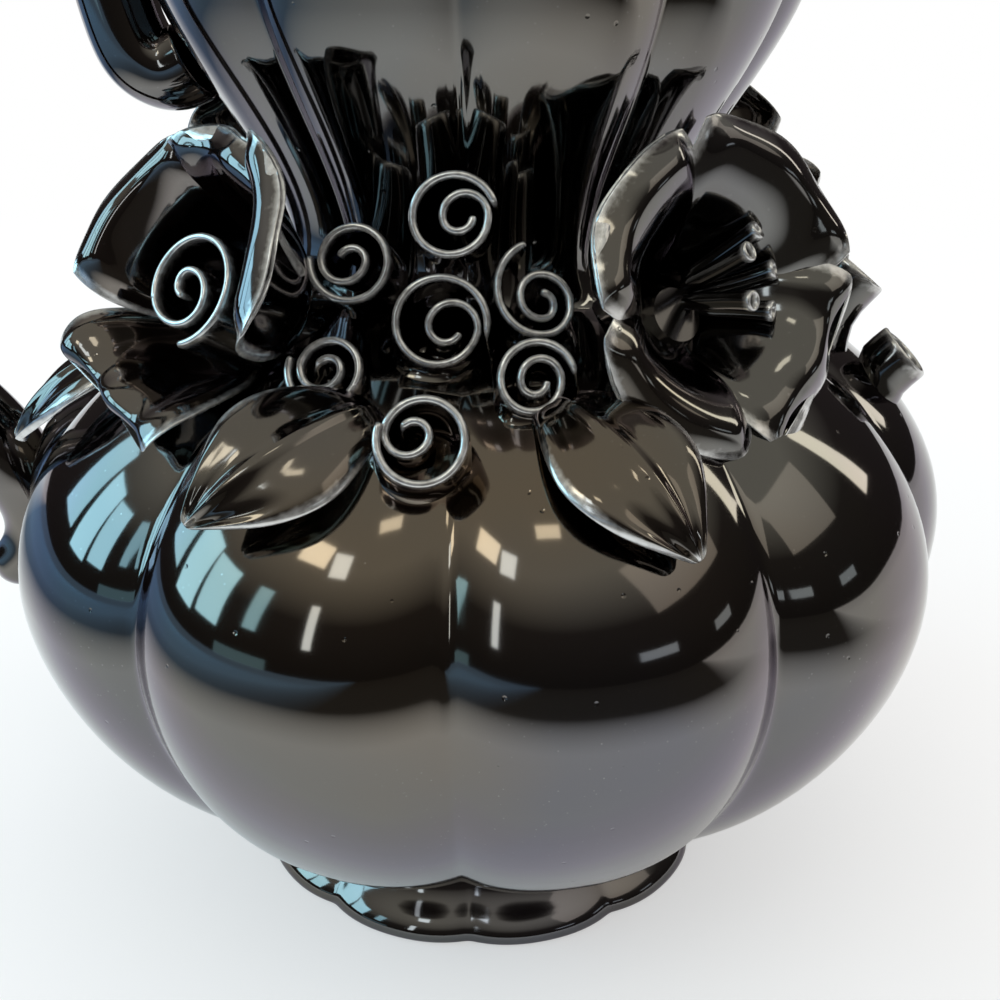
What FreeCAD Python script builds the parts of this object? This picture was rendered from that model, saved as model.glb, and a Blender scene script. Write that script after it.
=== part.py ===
import FreeCAD, Part
import math
import os
import Sketcher

os.makedirs("parts", exist_ok=True)
doc = FreeCAD.newDocument("FloralJug")
Vector = FreeCAD.Vector

# Driving dimensions
# Lengths in millimetres, angles in degrees. A name that ends in share is a plain ratio.
# A value in words is worked out by the sheet from the sizes above it.
SIZES = [
    ("lobe_count", 10, "gadroons round the belly, the neck and the foot"),
    ("groove_share", 0.05, "how far a groove sinks below its lobe crest"),
    ("overrun", 2.0, "how far any cutting shape runs past what it cuts"),
    ("belly_radius", 90.0, "belly at its widest, over the lobe crests"),
    ("belly_lower_reach", 69.66, "widest place down to where the lower curve would close"),
    ("belly_upper_reach", 53.91, "widest place up to where the upper curve would close"),
    ("belly_lower_power_share", 1.82, "fullness of the lower curve"),
    ("belly_upper_power_share", 2.06, "fullness of the upper curve"),
    ("belly_floor_height", 8.0, "underside of the belly above the table"),
    ("belly_floor_share", 0.9403, "how much of the lower reach is above that underside"),
    ("belly_widest_height", "=belly_floor_height + belly_floor_share * belly_lower_reach",
     "height of the widest place"),
    ("belly_wall", 4.5, "fired wall of the belly"),
    ("neck_seam_share", 0.909, "how much of the upper reach is below the seam with the neck"),
    ("neck_seam_height", "=belly_widest_height + neck_seam_share * belly_upper_reach",
     "height of that seam"),
    ("neck_wall", 3.6, "fired wall of the neck"),
    ("waist_radius", 36.0, "narrowest place of the neck"),
    ("waist_rise", 8.5, "seam up to the narrowest place"),
    ("waist_height", "=neck_seam_height + waist_rise", "height of the narrowest place"),
    ("flare_radius", 55.4, "neck where the photograph's top edge crosses it"),
    ("flare_rise", 38.0, "waist up to that crossing"),
    ("flare_height", "=waist_height + flare_rise", "height of that crossing"),
    ("mouth_radius", 69.0, "mouth over the crests, before it is pinched"),
    ("mouth_rise", 37.0, "crossing up to the lowest place of the rim, at the pinches"),
    ("mouth_height", "=flare_height + mouth_rise", "height of that lowest place"),
    ("rim_sweep_radius", 190.0, "radius of the sweep that lifts lip and heel of the rim"),
    ("lip_rise", 40.0, "lowest place of the rim up to where the neck is drawn before trimming"),
    ("mouth_top_height", "=mouth_height + lip_rise", "height that the neck is drawn to"),
    ("spout_share", 0.26, "how far the pouring lip is pulled out"),
    ("pinch_share", 0.17, "how far the mouth is pinched beside the lip"),
    ("spout_spread", 26.0, "angle over which the lip is pulled"),
    ("pinch_angle", 54.0, "angle of the pinches from the lip"),
    ("pinch_spread", 20.0, "angle over which a pinch works"),
    ("foot_groove_share", 0.03, "how far a groove sinks in the foot"),
    ("foot_radius", 49.0, "foot ring on the table, over the crests"),
    ("foot_waist_radius", 41.5, "foot ring at its narrowest, under the belly"),
    ("foot_waist_height", 9.0, "height of that place"),
    ("foot_top_rise", 7.0, "how far the ring is drawn past the belly's underside before seating"),
    ("foot_top_height", "=belly_floor_height + foot_top_rise", "height that the ring is drawn to"),
    ("foot_wall", 5.5, "fired wall of the foot ring"),
    ("foot_edge", 2.4, "height of the upright edge of the foot"),
    ("handle_girth", 14.5, "thickness of the handle across its plane"),
    ("handle_depth", 13.5, "thickness of the handle in its plane"),
    ("handle_seat_drop", 12.0, "flare crossing down to the handle's seat on the neck"),
    ("handle_top_seat_height", "=flare_height - handle_seat_drop", "height of that seat"),
    ("handle_loop_rise", 69.0, "that seat up to the middle line at the top of the loop"),
    ("handle_stand", 49.0, "belly out to the farthest place of the middle line"),
    ("handle_reach", "=belly_radius + handle_stand", "how far the middle line stands out"),
    ("handle_root_rise", 6.5, "widest place of the belly up to the handle's seat on it"),
    ("handle_low_seat_height", "=belly_widest_height + handle_root_rise", "height of that seat"),
    ("handle_tail_drop", 25.5, "that seat down to the end of the curled tail"),
    ("handle_tail_height", "=handle_low_seat_height - handle_tail_drop", "height of the end"),
    ("petal_thickness", 1.5, "rolled sheet that petals are cut from"),
    ("leaf_thickness", 1.6, "rolled sheet that leaves are cut from"),
    ("ribbon_thickness", 1.0, "rolled strip that curls are wound from"),
    ("rose_angle", 42.0, "an open rose stands this far round from the curls' middle"),
    ("bud_angle", 41.0, "a rosebud stands this far round the other way"),
    ("flower_lift", 32.0, "flowers look up by this much"),
    ("flower_stand", 4.0, "a flower's root stands off the shoulder by this much"),
    ("pad_radius", 9.0, "clay cone that carries a flower, at its wide end"),
    ("pad_tip_radius", 4.5, "the same cone where the petals meet"),
    ("pad_length", 12.0, "length of that cone before it is seated"),
    ("pad_rise", 2.0, "how far the cone's tip stands inside the flower"),
    ("rose_petal_length", 27.0, "open rose petal from root to lip"),
    ("rose_petal_breadth", 15.0, "half its width"),
    ("bud_petal_length", 28.0, "rosebud petal from root to lip"),
    ("bud_petal_breadth", 15.0, "half its width"),
    ("heart_radius", 7.2, "wound ribbon in the middle of a rosebud"),
    ("heart_length", 15.0, "depth of that ribbon"),
    ("stamen_radius", 1.5, "stamen tube outside"),
    ("stamen_bore", 0.7, "stamen tube inside, as a radius"),
    ("stamen_length", 13.0, "stamen tube length"),
    ("curl_wide_radius", 7.2, "widest ribbon curl"),
    ("curl_middle_radius", 6.3, "middle ribbon curl"),
    ("curl_small_radius", 5.6, "smallest ribbon curl"),
    ("curl_length", 17.0, "depth of a ribbon curl before it is seated"),
    ("curl_half_turns", 3, "half turns in a ribbon curl"),
    ("curl_eye_share", 0.18, "open middle of a curl, as a share of its radius"),
    ("leaf_length", 29.0, "leaf from root to tip"),
    ("leaf_breadth", 8.0, "half the leaf's width"),
    ("leaf_stand", 6.0, "a leaf's root stands off the shoulder by this much"),
]
sheet = doc.addObject("Spreadsheet::Sheet", "Sizes")
for row, (alias, value, meaning) in enumerate(SIZES, start=1):
    sheet.set("A%d" % row, alias)
    sheet.set("B%d" % row, str(value))
    sheet.setAlias("B%d" % row, alias)
    sheet.set("C%d" % row, meaning)
doc.recompute()


def size(alias):
    return float(sheet.get(alias))


# Directions round the jug in degrees: the lip looks along 0 and the handle along 180.
FRONT = -90
REAR = 90
LOBES = int(size("lobe_count"))
OVERRUN = size("overrun")
FLOWER_HEIGHT_SHARE = 0.98
ROSE_HEADING = 38
BUD_HEADING = 36
LEAF_LIFT = 50
HEART_TURN = -85
STAMEN_COUNT = 5
STAMEN_LEAN = 14
STAMEN_RING_SHARE = 1.15
NECK_START_SHARE = 0.25
MOUTH_FLICK_SHARE = 0.35
FOOT_SWEEP_SHARE = 0.6
SLOPE_STEP_SHARE = 0.1
NODES = []

# Frames
# A place on the jug is given by its angle round the jug, its distance from the axis and its height.


def around(angle, radius, height):
    a = math.radians(angle)
    return Vector(radius * math.cos(a), radius * math.sin(a), height)


def outward_frame(origin, heading, lift):
    """Local z looks outward at a heading and a lift, local x runs level to the right."""
    a = math.radians(heading)
    e = math.radians(lift)
    look = Vector(math.cos(e) * math.cos(a), math.cos(e) * math.sin(a), math.sin(e))
    level = Vector(-math.sin(a), math.cos(a), 0)
    rise = look.cross(level)
    turn = FreeCAD.Rotation(level, rise, look, "ZXY")
    return FreeCAD.Placement(origin, turn)


def turned(place, angle):
    """The same frame, spun about its own z."""
    return place * FreeCAD.Placement(Vector(), FreeCAD.Rotation(Vector(0, 0, 1), angle))


# Lobed walls
# A section is a ring of arcs, one for each lobe, that meet in the grooves.


def lobed_ring(radius_at, height, groove_share):
    groove_keep = 1 - groove_share
    step = 360.0 / LOBES
    arcs = []
    for k in range(LOBES):
        crest = k * step
        ends = []
        for side in (-1, 1):
            angle = crest + side * step / 2
            ends.append(around(angle, radius_at(angle, height) * groove_keep, height))
        top = around(crest, radius_at(crest, height), height)
        arcs.append(Part.Arc(ends[0], top, ends[1]).toShape())
    return Part.Wire(arcs)


def lobed_solid(radius_at, heights, groove_share):
    rings = [lobed_ring(radius_at, height, groove_share) for height in heights]
    return Part.makeLoft(rings, True, False)


def belly_curve(height):
    rise = height - size("belly_widest_height")
    if rise < 0:
        reach = size("belly_lower_reach")
        power = size("belly_lower_power_share")
    else:
        reach = size("belly_upper_reach")
        power = size("belly_upper_power_share")
    left = 1 - (abs(rise) / reach) ** power
    return size("belly_radius") * math.sqrt(max(left, 0))


def belly_outside(angle, height):
    return belly_curve(height)


def belly_inside(angle, height):
    """The hollow is the outside drawn in by the wall, square to the curve."""
    wall = size("belly_wall")
    step = wall * SLOPE_STEP_SHARE
    slope = (belly_curve(height + step) - belly_curve(height - step)) / (2 * step)
    lean = math.sqrt(1 + slope * slope)
    shift = wall * slope / lean
    return belly_curve(height - shift) - wall / lean


def shares_between(low, high, shares):
    return [low + (high - low) * share for share in shares]


def belly_heights(low, high):
    widest = size("belly_widest_height")
    below_shares = [0, 0.04, 0.11, 0.22, 0.36, 0.53, 0.75, 1]
    above_shares = [0.3, 0.56, 0.76, 0.89, 0.96, 1]
    return shares_between(low, widest, below_shares) + shares_between(widest, high, above_shares)


# Neck and mouth
# The neck rises from a waist, flares like a lily and ends in a three-lobed pouring mouth.


def smooth_step(share):
    share = min(max(share, 0), 1)
    return share * share * (3 - 2 * share)


def neck_curve(height):
    seam = size("neck_seam_height")
    waist_h = size("waist_height")
    flare_h = size("flare_height")
    top = size("mouth_top_height")
    waist = size("waist_radius")
    flare = size("flare_radius")
    mouth = size("mouth_radius")
    if height < waist_h:
        share = (waist_h - height) / (waist_h - seam)
        return waist + (belly_curve(seam) - waist) * share * share
    if height < flare_h:
        share = (height - waist_h) / (flare_h - waist_h)
        bend = NECK_START_SHARE + (2 - NECK_START_SHARE) * share - share * share
        return waist + (flare - waist) * share * bend
    share = (height - flare_h) / (top - flare_h)
    return flare + (mouth - flare) * (1 - (1 - share) ** 2) * (1 + MOUTH_FLICK_SHARE * share)


def mouth_pull(angle, height):
    flare_h = size("flare_height")
    share = smooth_step((height - flare_h) / (size("mouth_height") - flare_h))
    off = abs((angle + 180.0) % 360.0 - 180.0)
    lip = size("spout_share") * math.exp(-(off / size("spout_spread")) ** 2)
    pinch = size("pinch_share") * math.exp(-((off - size("pinch_angle")) / size("pinch_spread")) ** 2)
    return 1 + share * (lip - pinch)


def neck_outside(angle, height):
    return neck_curve(height) * mouth_pull(angle, height)


def neck_inside(angle, height):
    return neck_outside(angle, height) - size("neck_wall")


def neck_heights(low, high):
    waist_h = size("waist_height")
    flare_h = size("flare_height")
    lower = shares_between(low, waist_h, [0, 0.5, 1])
    middle = shares_between(waist_h, flare_h, [0.25, 0.5, 0.75, 1])
    upper = shares_between(flare_h, high, [0.2, 0.4, 0.6, 0.8, 1])
    return lower + middle + upper


def add_shape(label, shape):
    piece = doc.addObject("Part::Feature", label)
    piece.Label = label
    piece.Shape = shape
    return piece


def add_node(label, shape):
    piece = add_shape(label, shape)
    NODES.append(piece)
    return piece


def build_belly():
    """A cast melon body, open under the neck through a throat as wide as the neck's bore."""
    floor = size("belly_floor_height")
    seam = size("neck_seam_height")
    wall = size("belly_wall")
    groove = size("groove_share")
    outside = lobed_solid(belly_outside, belly_heights(floor, seam), groove)
    low_shares = [0, 0.03, 0.08, 0.16, 0.28, 0.42, 0.58, 0.74, 0.88, 0.96, 1]
    hollow = lobed_solid(belly_inside, shares_between(floor + wall, seam - wall, low_shares), groove)
    throat_heights = [seam - 2 * wall, seam + OVERRUN]
    throat = lobed_solid(lambda angle, height: neck_inside(angle, seam), throat_heights, groove)
    return outside, outside.cut(hollow).cut(throat)


def build_neck():
    seam = size("neck_seam_height")
    top = size("mouth_top_height")
    groove = size("groove_share")
    outside = lobed_solid(neck_outside, neck_heights(seam, top), groove)
    bore = lobed_solid(neck_inside, neck_heights(seam - OVERRUN, top + OVERRUN), groove)
    sweep = size("rim_sweep_radius")
    length = 4 * size("mouth_radius")
    centre = Vector(-size("neck_wall"), -length / 2, size("mouth_height") + sweep)
    trim = Part.makeCylinder(sweep, length, centre, Vector(0, 1, 0))
    return outside.cut(trim), outside.cut(trim).cut(bore)


belly_solid, belly_wall_shape = build_belly()
neck_solid, neck_wall_shape = build_neck()
add_node("belly", belly_wall_shape)
add_node("neck", neck_wall_shape)
jug_core = belly_solid.fuse(neck_solid)


# Foot
# A turned ring with the belly's lobes, luted to the underside.


def foot_curve(height):
    rise = max(height - size("foot_edge"), 0) / (size("foot_waist_height") - size("foot_edge"))
    sweep = smooth_step(min(rise, 1)) ** FOOT_SWEEP_SHARE
    return size("foot_radius") + (size("foot_waist_radius") - size("foot_radius")) * sweep


def build_foot():
    edge = size("foot_edge")
    waist_h = size("foot_waist_height")
    top = size("foot_top_height")
    heights = [0, edge] + shares_between(edge, waist_h, [0.25, 0.5, 0.75, 1]) + [top]
    groove = size("foot_groove_share")
    outside = lobed_solid(lambda angle, height: foot_curve(height), heights, groove)
    wall = size("foot_wall")
    low_radius = (size("foot_radius") - wall) * (1 - groove)
    high_radius = (size("foot_waist_radius") - wall) * (1 - groove)
    bore = Part.makeCone(low_radius, high_radius, top, Vector(), Vector(0, 0, 1))
    return outside.cut(bore).cut(belly_solid)


add_node("foot", build_foot())


# Handle
# One pulled tube: seated on the neck, swung up and out in a loop, brought down to the belly
# and ended in a short tail that curls away from the wall.


# Rows of shares: how far out, how high, and the girth kept.
# Seat and return rows count in girths, loop rows in the loop's reach and rise.
HANDLE_SEAT_SHARES = [
    (-1.00, 0.30, 1.05),
    (-0.10, -0.02, 1.05),
    (0.42, 0.25, 1.06),
]
HANDLE_LOOP_SHARES = [
    (0.108, 0.22, 1.00),
    (0.156, 0.52, 0.98),
    (0.338, 0.87, 0.98),
    (0.550, 1.00, 0.98),
    (0.983, 0.80, 1.00),
    (1.000, 0.365, 1.00),
    (0.957, -0.164, 1.00),
]
HANDLE_RETURN_SHARES = [
    (2.30, 2.42, 1.03),
    (1.35, 1.26, 1.10),
    (0.60, 0.35, 1.18),
    (0.26, -0.38, 1.10),
]
HANDLE_TAIL_SHARES = [
    (0.28, 0.76, 0.84),
    (0.50, 0.28, 0.88),
    (0.90, -0.02, 0.74),
]


def handle_stations():
    """Middle line as radius and height, with the girth kept at each place as a share."""
    girth = size("handle_girth")
    flare = size("flare_radius")
    belly = size("belly_radius")
    high = size("handle_top_seat_height")
    reach = size("handle_reach") - flare
    rise = size("handle_loop_rise")
    groups = [
        (HANDLE_SEAT_SHARES, flare, girth, high, girth),
        (HANDLE_LOOP_SHARES, flare, reach, high, rise),
        (HANDLE_RETURN_SHARES, belly, girth, size("handle_low_seat_height"), girth),
        (HANDLE_TAIL_SHARES, belly, girth, size("handle_tail_height"), girth),
    ]
    stations = []
    for rows, start, out_unit, level, up_unit in groups:
        for out_share, up_share, keep in rows:
            stations.append((start + out_share * out_unit, level + up_share * up_unit, keep))
    return stations


def tangent_at(points, index):
    before = points[max(index - 1, 0)]
    after = points[min(index + 1, len(points) - 1)]
    along = after - before
    along.normalize()
    return along


def build_handle():
    stations = handle_stations()
    points = [Vector(-radius, 0, height) for radius, height, keep in stations]
    rings = []
    for index, (radius, height, keep) in enumerate(stations):
        along = tangent_at(points, index)
        ring = doc.addObject("Part::Ellipse", "handle_section_%02d" % (index + 1))
        ring.setExpression("MajorRadius", "Sizes.handle_girth * %.2f / 2" % keep)
        ring.setExpression("MinorRadius", "Sizes.handle_depth * %.2f / 2" % keep)
        turn = FreeCAD.Rotation(Vector(0, 1, 0), along.cross(Vector(0, 1, 0)), along, "ZXY")
        ring.Placement = FreeCAD.Placement(points[index], turn)
        rings.append(ring)
    tube = doc.addObject("Part::Loft", "handle_tube")
    tube.Sections = rings
    tube.Solid = True
    tube.Ruled = False
    return tube


def seated(shape, *neighbours):
    """A piece is pressed on while soft, so it gives way to whatever was there before it."""
    for neighbour in neighbours:
        if shape.BoundBox.intersect(neighbour.BoundBox):
            shape = shape.cut(neighbour)
    if not shape.Solids:
        raise ValueError("nothing is left of a seated piece")
    return max(shape.Solids, key=lambda solid: solid.Volume)


handle_tube = build_handle()
doc.recompute()
add_node("handle", seated(handle_tube.Shape, belly_solid, neck_solid))


# Places on the shoulder
# The garland is luted to the corner between the belly's shoulder and the neck.


def wall_radius(height):
    seam = size("neck_seam_height")
    return belly_curve(height) if height < seam else neck_curve(height)


def shoulder_place(angle, height_share, stand, heading, lift):
    """A frame that stands off the wall; its height is a share of the seam's height."""
    height = size("neck_seam_height") * height_share
    foot = around(angle, wall_radius(height), height)
    place = outward_frame(foot, heading, lift)
    return place * FreeCAD.Placement(Vector(0, 0, stand), FreeCAD.Rotation())


# Blades
# A petal or a leaf is a thin sheet lofted through crescents along its middle line.


def crescent(place, out, up, lean, half_width, cup, thickness):
    """One section across a blade, its middle at (out, up) in the local x-z plane."""
    normal = Vector(math.sin(lean), 0, -math.cos(lean))
    across = Vector(0, 1, 0)
    middle = Vector(out, 0, up)
    centre = middle - normal * cup
    reach = half_width / abs(cup)

    def point(radius, turn):
        local = centre + normal * (radius * math.cos(turn)) + across * (radius * math.sin(turn))
        return place.multVec(local)

    outer = cup + thickness / 2
    inner = cup - thickness / 2
    far = Part.Arc(point(outer, -reach), point(outer, 0), point(outer, reach)).toShape()
    near = Part.Arc(point(inner, reach), point(inner, 0), point(inner, -reach)).toShape()
    first = Part.LineSegment(point(outer, reach), point(inner, reach)).toShape()
    second = Part.LineSegment(point(inner, -reach), point(outer, -reach)).toShape()
    return Part.Wire([far, first, near, second])


def blade(place, shares, length, half_width, thickness):
    """Rows of shares: out, up, width and cup radius; a cup below zero arches the other way."""
    sections = []
    last = len(shares) - 1
    for index, (out_share, up_share, width_share, cup_share) in enumerate(shares):
        before = shares[max(index - 1, 0)]
        after = shares[min(index + 1, last)]
        lean = math.atan2(after[1] - before[1], after[0] - before[0])
        sections.append(crescent(place, out_share * length, up_share * length, lean,
                                 width_share * half_width, cup_share * length, thickness))
    return Part.makeLoft(sections, True, False)


# Petal and leaf outlines, each row a station along the middle line.
OPEN_PETAL_SHARES = [
    (0.14, 0.00, 0.30, 0.28),
    (0.34, 0.10, 0.70, 0.42),
    (0.53, 0.30, 1.00, 0.60),
    (0.68, 0.50, 1.00, 0.80),
    (0.81, 0.60, 0.72, 1.10),
    (0.90, 0.58, 0.30, 1.30),
]
CUPPED_PETAL_SHARES = [
    (0.14, 0.00, 0.35, 0.26),
    (0.34, 0.10, 0.75, 0.40),
    (0.46, 0.34, 1.00, 0.50),
    (0.51, 0.60, 1.00, 0.54),
    (0.58, 0.80, 0.80, 0.62),
    (0.70, 0.92, 0.35, 0.80),
]
LIP_PETAL_SHARES = [
    (0.14, 0.00, 0.32, 0.30),
    (0.36, 0.09, 0.75, 0.50),
    (0.53, 0.28, 1.05, 0.70),
    (0.65, 0.45, 1.15, 0.85),
    (0.77, 0.53, 0.90, 1.10),
    (0.86, 0.49, 0.45, 1.20),
]
LEAF_SHARES = [
    (-0.10, -0.30, 0.35, -0.60),
    (0.08, -0.05, 0.70, -0.60),
    (0.34, 0.08, 1.00, -0.55),
    (0.62, 0.10, 0.80, -0.55),
    (0.85, 0.07, 0.38, -0.60),
    (1.00, 0.03, 0.06, -0.60),
]


# Curls
# A strip rolled into a flat spiral of half turns, its edge facing out.


def spiral_sketch(body, radius_text, radius):
    thickness = size("ribbon_thickness")
    count = int(size("curl_half_turns"))
    eye_share = size("curl_eye_share")
    step = (radius * (1 - eye_share) - thickness) / count
    sketch = body.newObject("Sketcher::SketchObject", body.Name + "_spiral")
    plane = [item for item in body.Origin.OriginFeatures if item.Role == "XY_Plane"][0]
    sketch.AttachmentSupport = [(plane, "")]
    sketch.MapMode = "FlatFace"
    chains = []
    for inset in (0.0, thickness):
        centre = 0.0
        chain = []
        for turn in range(count):
            bend = radius - inset - turn * step
            side = 1 if turn % 2 == 0 else -1
            arc = Part.Circle(Vector(centre, 0, 0), Vector(0, 0, 1), bend)
            first = 0.0 if side > 0 else math.pi
            chain.append(sketch.addGeometry(Part.ArcOfCircle(arc, first, first + math.pi), False))
            centre -= side * step
        chains.append(chain)
    outer, inner = chains
    for chain, inset, inset_text in ((outer, 0.0, ""), (inner, thickness, " - Sizes.ribbon_thickness")):
        for turn, index in enumerate(chain):
            if turn == 0:
                sketch.addConstraint(Sketcher.Constraint("Coincident", index, 3, -1, 1))
                sketch.addConstraint(Sketcher.Constraint("PointOnObject", index, 1, -1))
            else:
                sketch.addConstraint(Sketcher.Constraint("PointOnObject", index, 3, -1))
                sketch.addConstraint(Sketcher.Constraint("Coincident", chain[turn - 1], 2, index, 1))
            sketch.addConstraint(Sketcher.Constraint("PointOnObject", index, 2, -1))
            bend = radius - inset - turn * step
            number = sketch.addConstraint(Sketcher.Constraint("Radius", index, bend))
            gap_text = "((%s) * (1 - Sizes.curl_eye_share) - Sizes.ribbon_thickness)" % radius_text
            text = "%s - %d * %s / Sizes.curl_half_turns%s" % (radius_text, turn, gap_text, inset_text)
            sketch.setExpression("Constraints[%d]" % number, text)
    for turn, end in ((0, 1), (count - 1, 2)):
        start = sketch.getPoint(outer[turn], end)
        stop = sketch.getPoint(inner[turn], end)
        line = sketch.addGeometry(Part.LineSegment(start, stop), False)
        sketch.addConstraint(Sketcher.Constraint("Coincident", line, 1, outer[turn], end))
        sketch.addConstraint(Sketcher.Constraint("Coincident", line, 2, inner[turn], end))
    return sketch


def add_ribbon(label, place, radius_alias, length_alias):
    """The wound strip as a body; its open face lies at the frame, its depth runs inward."""
    body = doc.addObject("PartDesign::Body", label + "_strip")
    sketch = spiral_sketch(body, "Sizes." + radius_alias, size(radius_alias))
    pad = body.newObject("PartDesign::Pad", body.Name + "_pad")
    pad.Profile = sketch
    pad.setExpression("Length", "Sizes." + length_alias)
    body.Tip = pad
    depth = FreeCAD.Placement(Vector(0, 0, -size(length_alias)), FreeCAD.Rotation())
    body.Placement = place * depth
    return body


def seat_on_wall(label, base):
    """The piece is cut to the outside of the jug, so that it meets the wall face to face."""
    cut = doc.addObject("Part::Cut", label)
    cut.Label = label
    cut.Base = base
    cut.Tool = core
    NODES.append(cut)
    return cut


# Curl clusters
# Rows: name, angle from the cluster's middle, height share, stand share, heading, lift,
# direction of the strip's outer end and size.
CLUSTER_CURLS = [
    ("top", -1.5, 1.112, 0.82, 2.0, 20, 10, "curl_middle_radius"),
    ("centre", -4.0, 0.990, 0.62, 2.0, 22, -18, "curl_wide_radius"),
    ("bottom", -3.5, 0.904, 0.44, 1.0, 30, 150, "curl_middle_radius"),
    ("upper_right", 15.0, 1.022, 0.84, 8.0, 22, 100, "curl_middle_radius"),
    ("lower_right", 12.0, 0.949, 0.38, 8.0, 30, 5, "curl_small_radius"),
    ("upper_left", -24.0, 1.045, 0.85, -8.0, 22, 170, "curl_middle_radius"),
    ("lower_left", -20.5, 0.951, 0.38, -8.0, 30, 155, "curl_small_radius"),
]
SPOUT_CURLS = [
    ("upper", -5.0, 0.927, 0.80, -5.0, 50, 0, "curl_middle_radius"),
    ("lower", -6.0, 0.851, 0.40, -6.0, 45, 90, "curl_small_radius"),
    ("side", 11.0, 0.940, 0.60, 9.0, 45, 180, "curl_small_radius"),
]
HANDLE_CURLS = [
    ("upper", 0.0, 0.945, 0.60, 0.0, 40, 0, "curl_small_radius"),
]


def add_cluster(prefix, middle, rows):
    cluster = []
    for name, angle, height_share, stand_share, heading, lift, spin, radius_alias in rows:
        stand = stand_share * size("curl_length")
        place = shoulder_place(middle + angle, height_share, stand, middle + heading, lift)
        place = turned(place, spin)
        label = prefix + "_curl_" + name
        cluster.append(seat_on_wall(label, add_ribbon(label, place, radius_alias, "curl_length")))
    return cluster


# Flowers
# Each flower stands on a clay cone; a bud has a wound heart, an open rose has stamens.


def flower_place(angle, heading):
    return shoulder_place(angle, FLOWER_HEIGHT_SHARE, size("flower_stand"), heading, size("flower_lift"))


def add_pad(prefix, place):
    cone = doc.addObject("Part::Cone", prefix + "_pad_cone")
    cone.setExpression("Radius1", "Sizes.pad_radius")
    cone.setExpression("Radius2", "Sizes.pad_tip_radius")
    cone.setExpression("Height", "Sizes.pad_length")
    depth = size("pad_rise") - size("pad_length")
    cone.Placement = place * FreeCAD.Placement(Vector(0, 0, depth), FreeCAD.Rotation())
    return seat_on_wall(prefix + "_pad", cone)


def add_heart(prefix, place):
    top = size("pad_rise") + size("heart_length")
    lifted = place * FreeCAD.Placement(Vector(0, 0, top), FreeCAD.Rotation(Vector(0, 0, 1), HEART_TURN))
    body = add_ribbon(prefix + "_heart", lifted, "heart_radius", "heart_length")
    body.Label = prefix + "_heart"
    NODES.append(body)
    return body


def add_stamens(prefix, place, pad):
    """Thin open tubes in a ring, each leaning outward, pressed on the cone's tip."""
    ring = size("pad_tip_radius") - STAMEN_RING_SHARE * size("stamen_radius")
    low = size("pad_rise") - size("stamen_bore")
    lean = FreeCAD.Rotation(Vector(0, 1, 0), STAMEN_LEAN)
    tubes = []
    for number in range(STAMEN_COUNT):
        spin = turned(place, number * 360.0 / STAMEN_COUNT)
        root = spin * FreeCAD.Placement(Vector(ring, 0, low), lean)
        rod = doc.addObject("Part::Cylinder", "%s_stamen_%d" % (prefix, number + 1))
        rod.setExpression("Radius", "Sizes.stamen_radius")
        rod.setExpression("Height", "Sizes.stamen_length")
        rod.Placement = root
        bore = doc.addObject("Part::Cylinder", "%s_bore_%d" % (prefix, number + 1))
        bore.setExpression("Radius", "Sizes.stamen_bore")
        bore.setExpression("Height", "Sizes.stamen_length")
        half = size("stamen_length") / 2
        bore.Placement = root * FreeCAD.Placement(Vector(0, 0, half), FreeCAD.Rotation())
        tube = doc.addObject("Part::Cut", "%s_tube_%d" % (prefix, number + 1))
        tube.Base = rod
        tube.Tool = bore
        stamen = doc.addObject("Part::Cut", "%s_seated_stamen_%d" % (prefix, number + 1))
        stamen.Base = tube
        stamen.Tool = pad
        tubes.append(stamen)
    group = doc.addObject("Part::Compound", prefix + "_stamens")
    group.Label = prefix + "_stamens"
    group.Links = tubes
    NODES.append(group)
    return group


# Rows: name, turn round the flower, outline, length share, breadth share.
ROSE_PETALS = [
    ("lower_left", 232, OPEN_PETAL_SHARES, 1.00, 1.00),
    ("lower_right", 325, OPEN_PETAL_SHARES, 0.98, 0.95),
    ("upper_left", 132, OPEN_PETAL_SHARES, 1.00, 1.00),
    ("upper_right", 52, OPEN_PETAL_SHARES, 1.06, 1.05),
    ("under", 282, LIP_PETAL_SHARES, 1.00, 0.85),
]
BUD_PETALS = [
    ("left", 150, CUPPED_PETAL_SHARES, 0.90, 1.05),
    ("right", 30, CUPPED_PETAL_SHARES, 1.08, 1.05),
    ("lip", 255, LIP_PETAL_SHARES, 0.86, 1.15),
    ("back", 80, CUPPED_PETAL_SHARES, 1.06, 1.10),
]


def add_petals(prefix, place, rows, sizes, neighbours):
    petals = []
    for name, turn, shares, length_share, breadth_share in rows:
        length = length_share * size(sizes + "_length")
        breadth = breadth_share * size(sizes + "_breadth")
        shape = blade(turned(place, turn), shares, length, breadth, size("petal_thickness"))
        before = [petal.Shape for petal in petals]
        petals.append(add_node(prefix + "_petal_" + name, seated(shape, *neighbours, *before)))
    return petals


# Leaves
# Rows: name, angle, height share, heading, direction round the frame, roll about its own
# length, lift of the tip, length share, breadth share.
CLUSTER_LEAVES = [
    ("left", -12.0, 0.918, -15.0, 232, -12, 3, 1.00, 1.00),
    ("right", 15.0, 0.926, 20.0, 293, 0, -3, 1.03, 1.10),
]
HANDLE_LEAVES = [
    ("front", 33.0, 0.931, 28.0, 258, 0, 0, 1.00, 0.80),
    ("rear", -33.0, 0.931, -28.0, 282, 0, 0, 1.00, 0.80),
]


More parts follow.
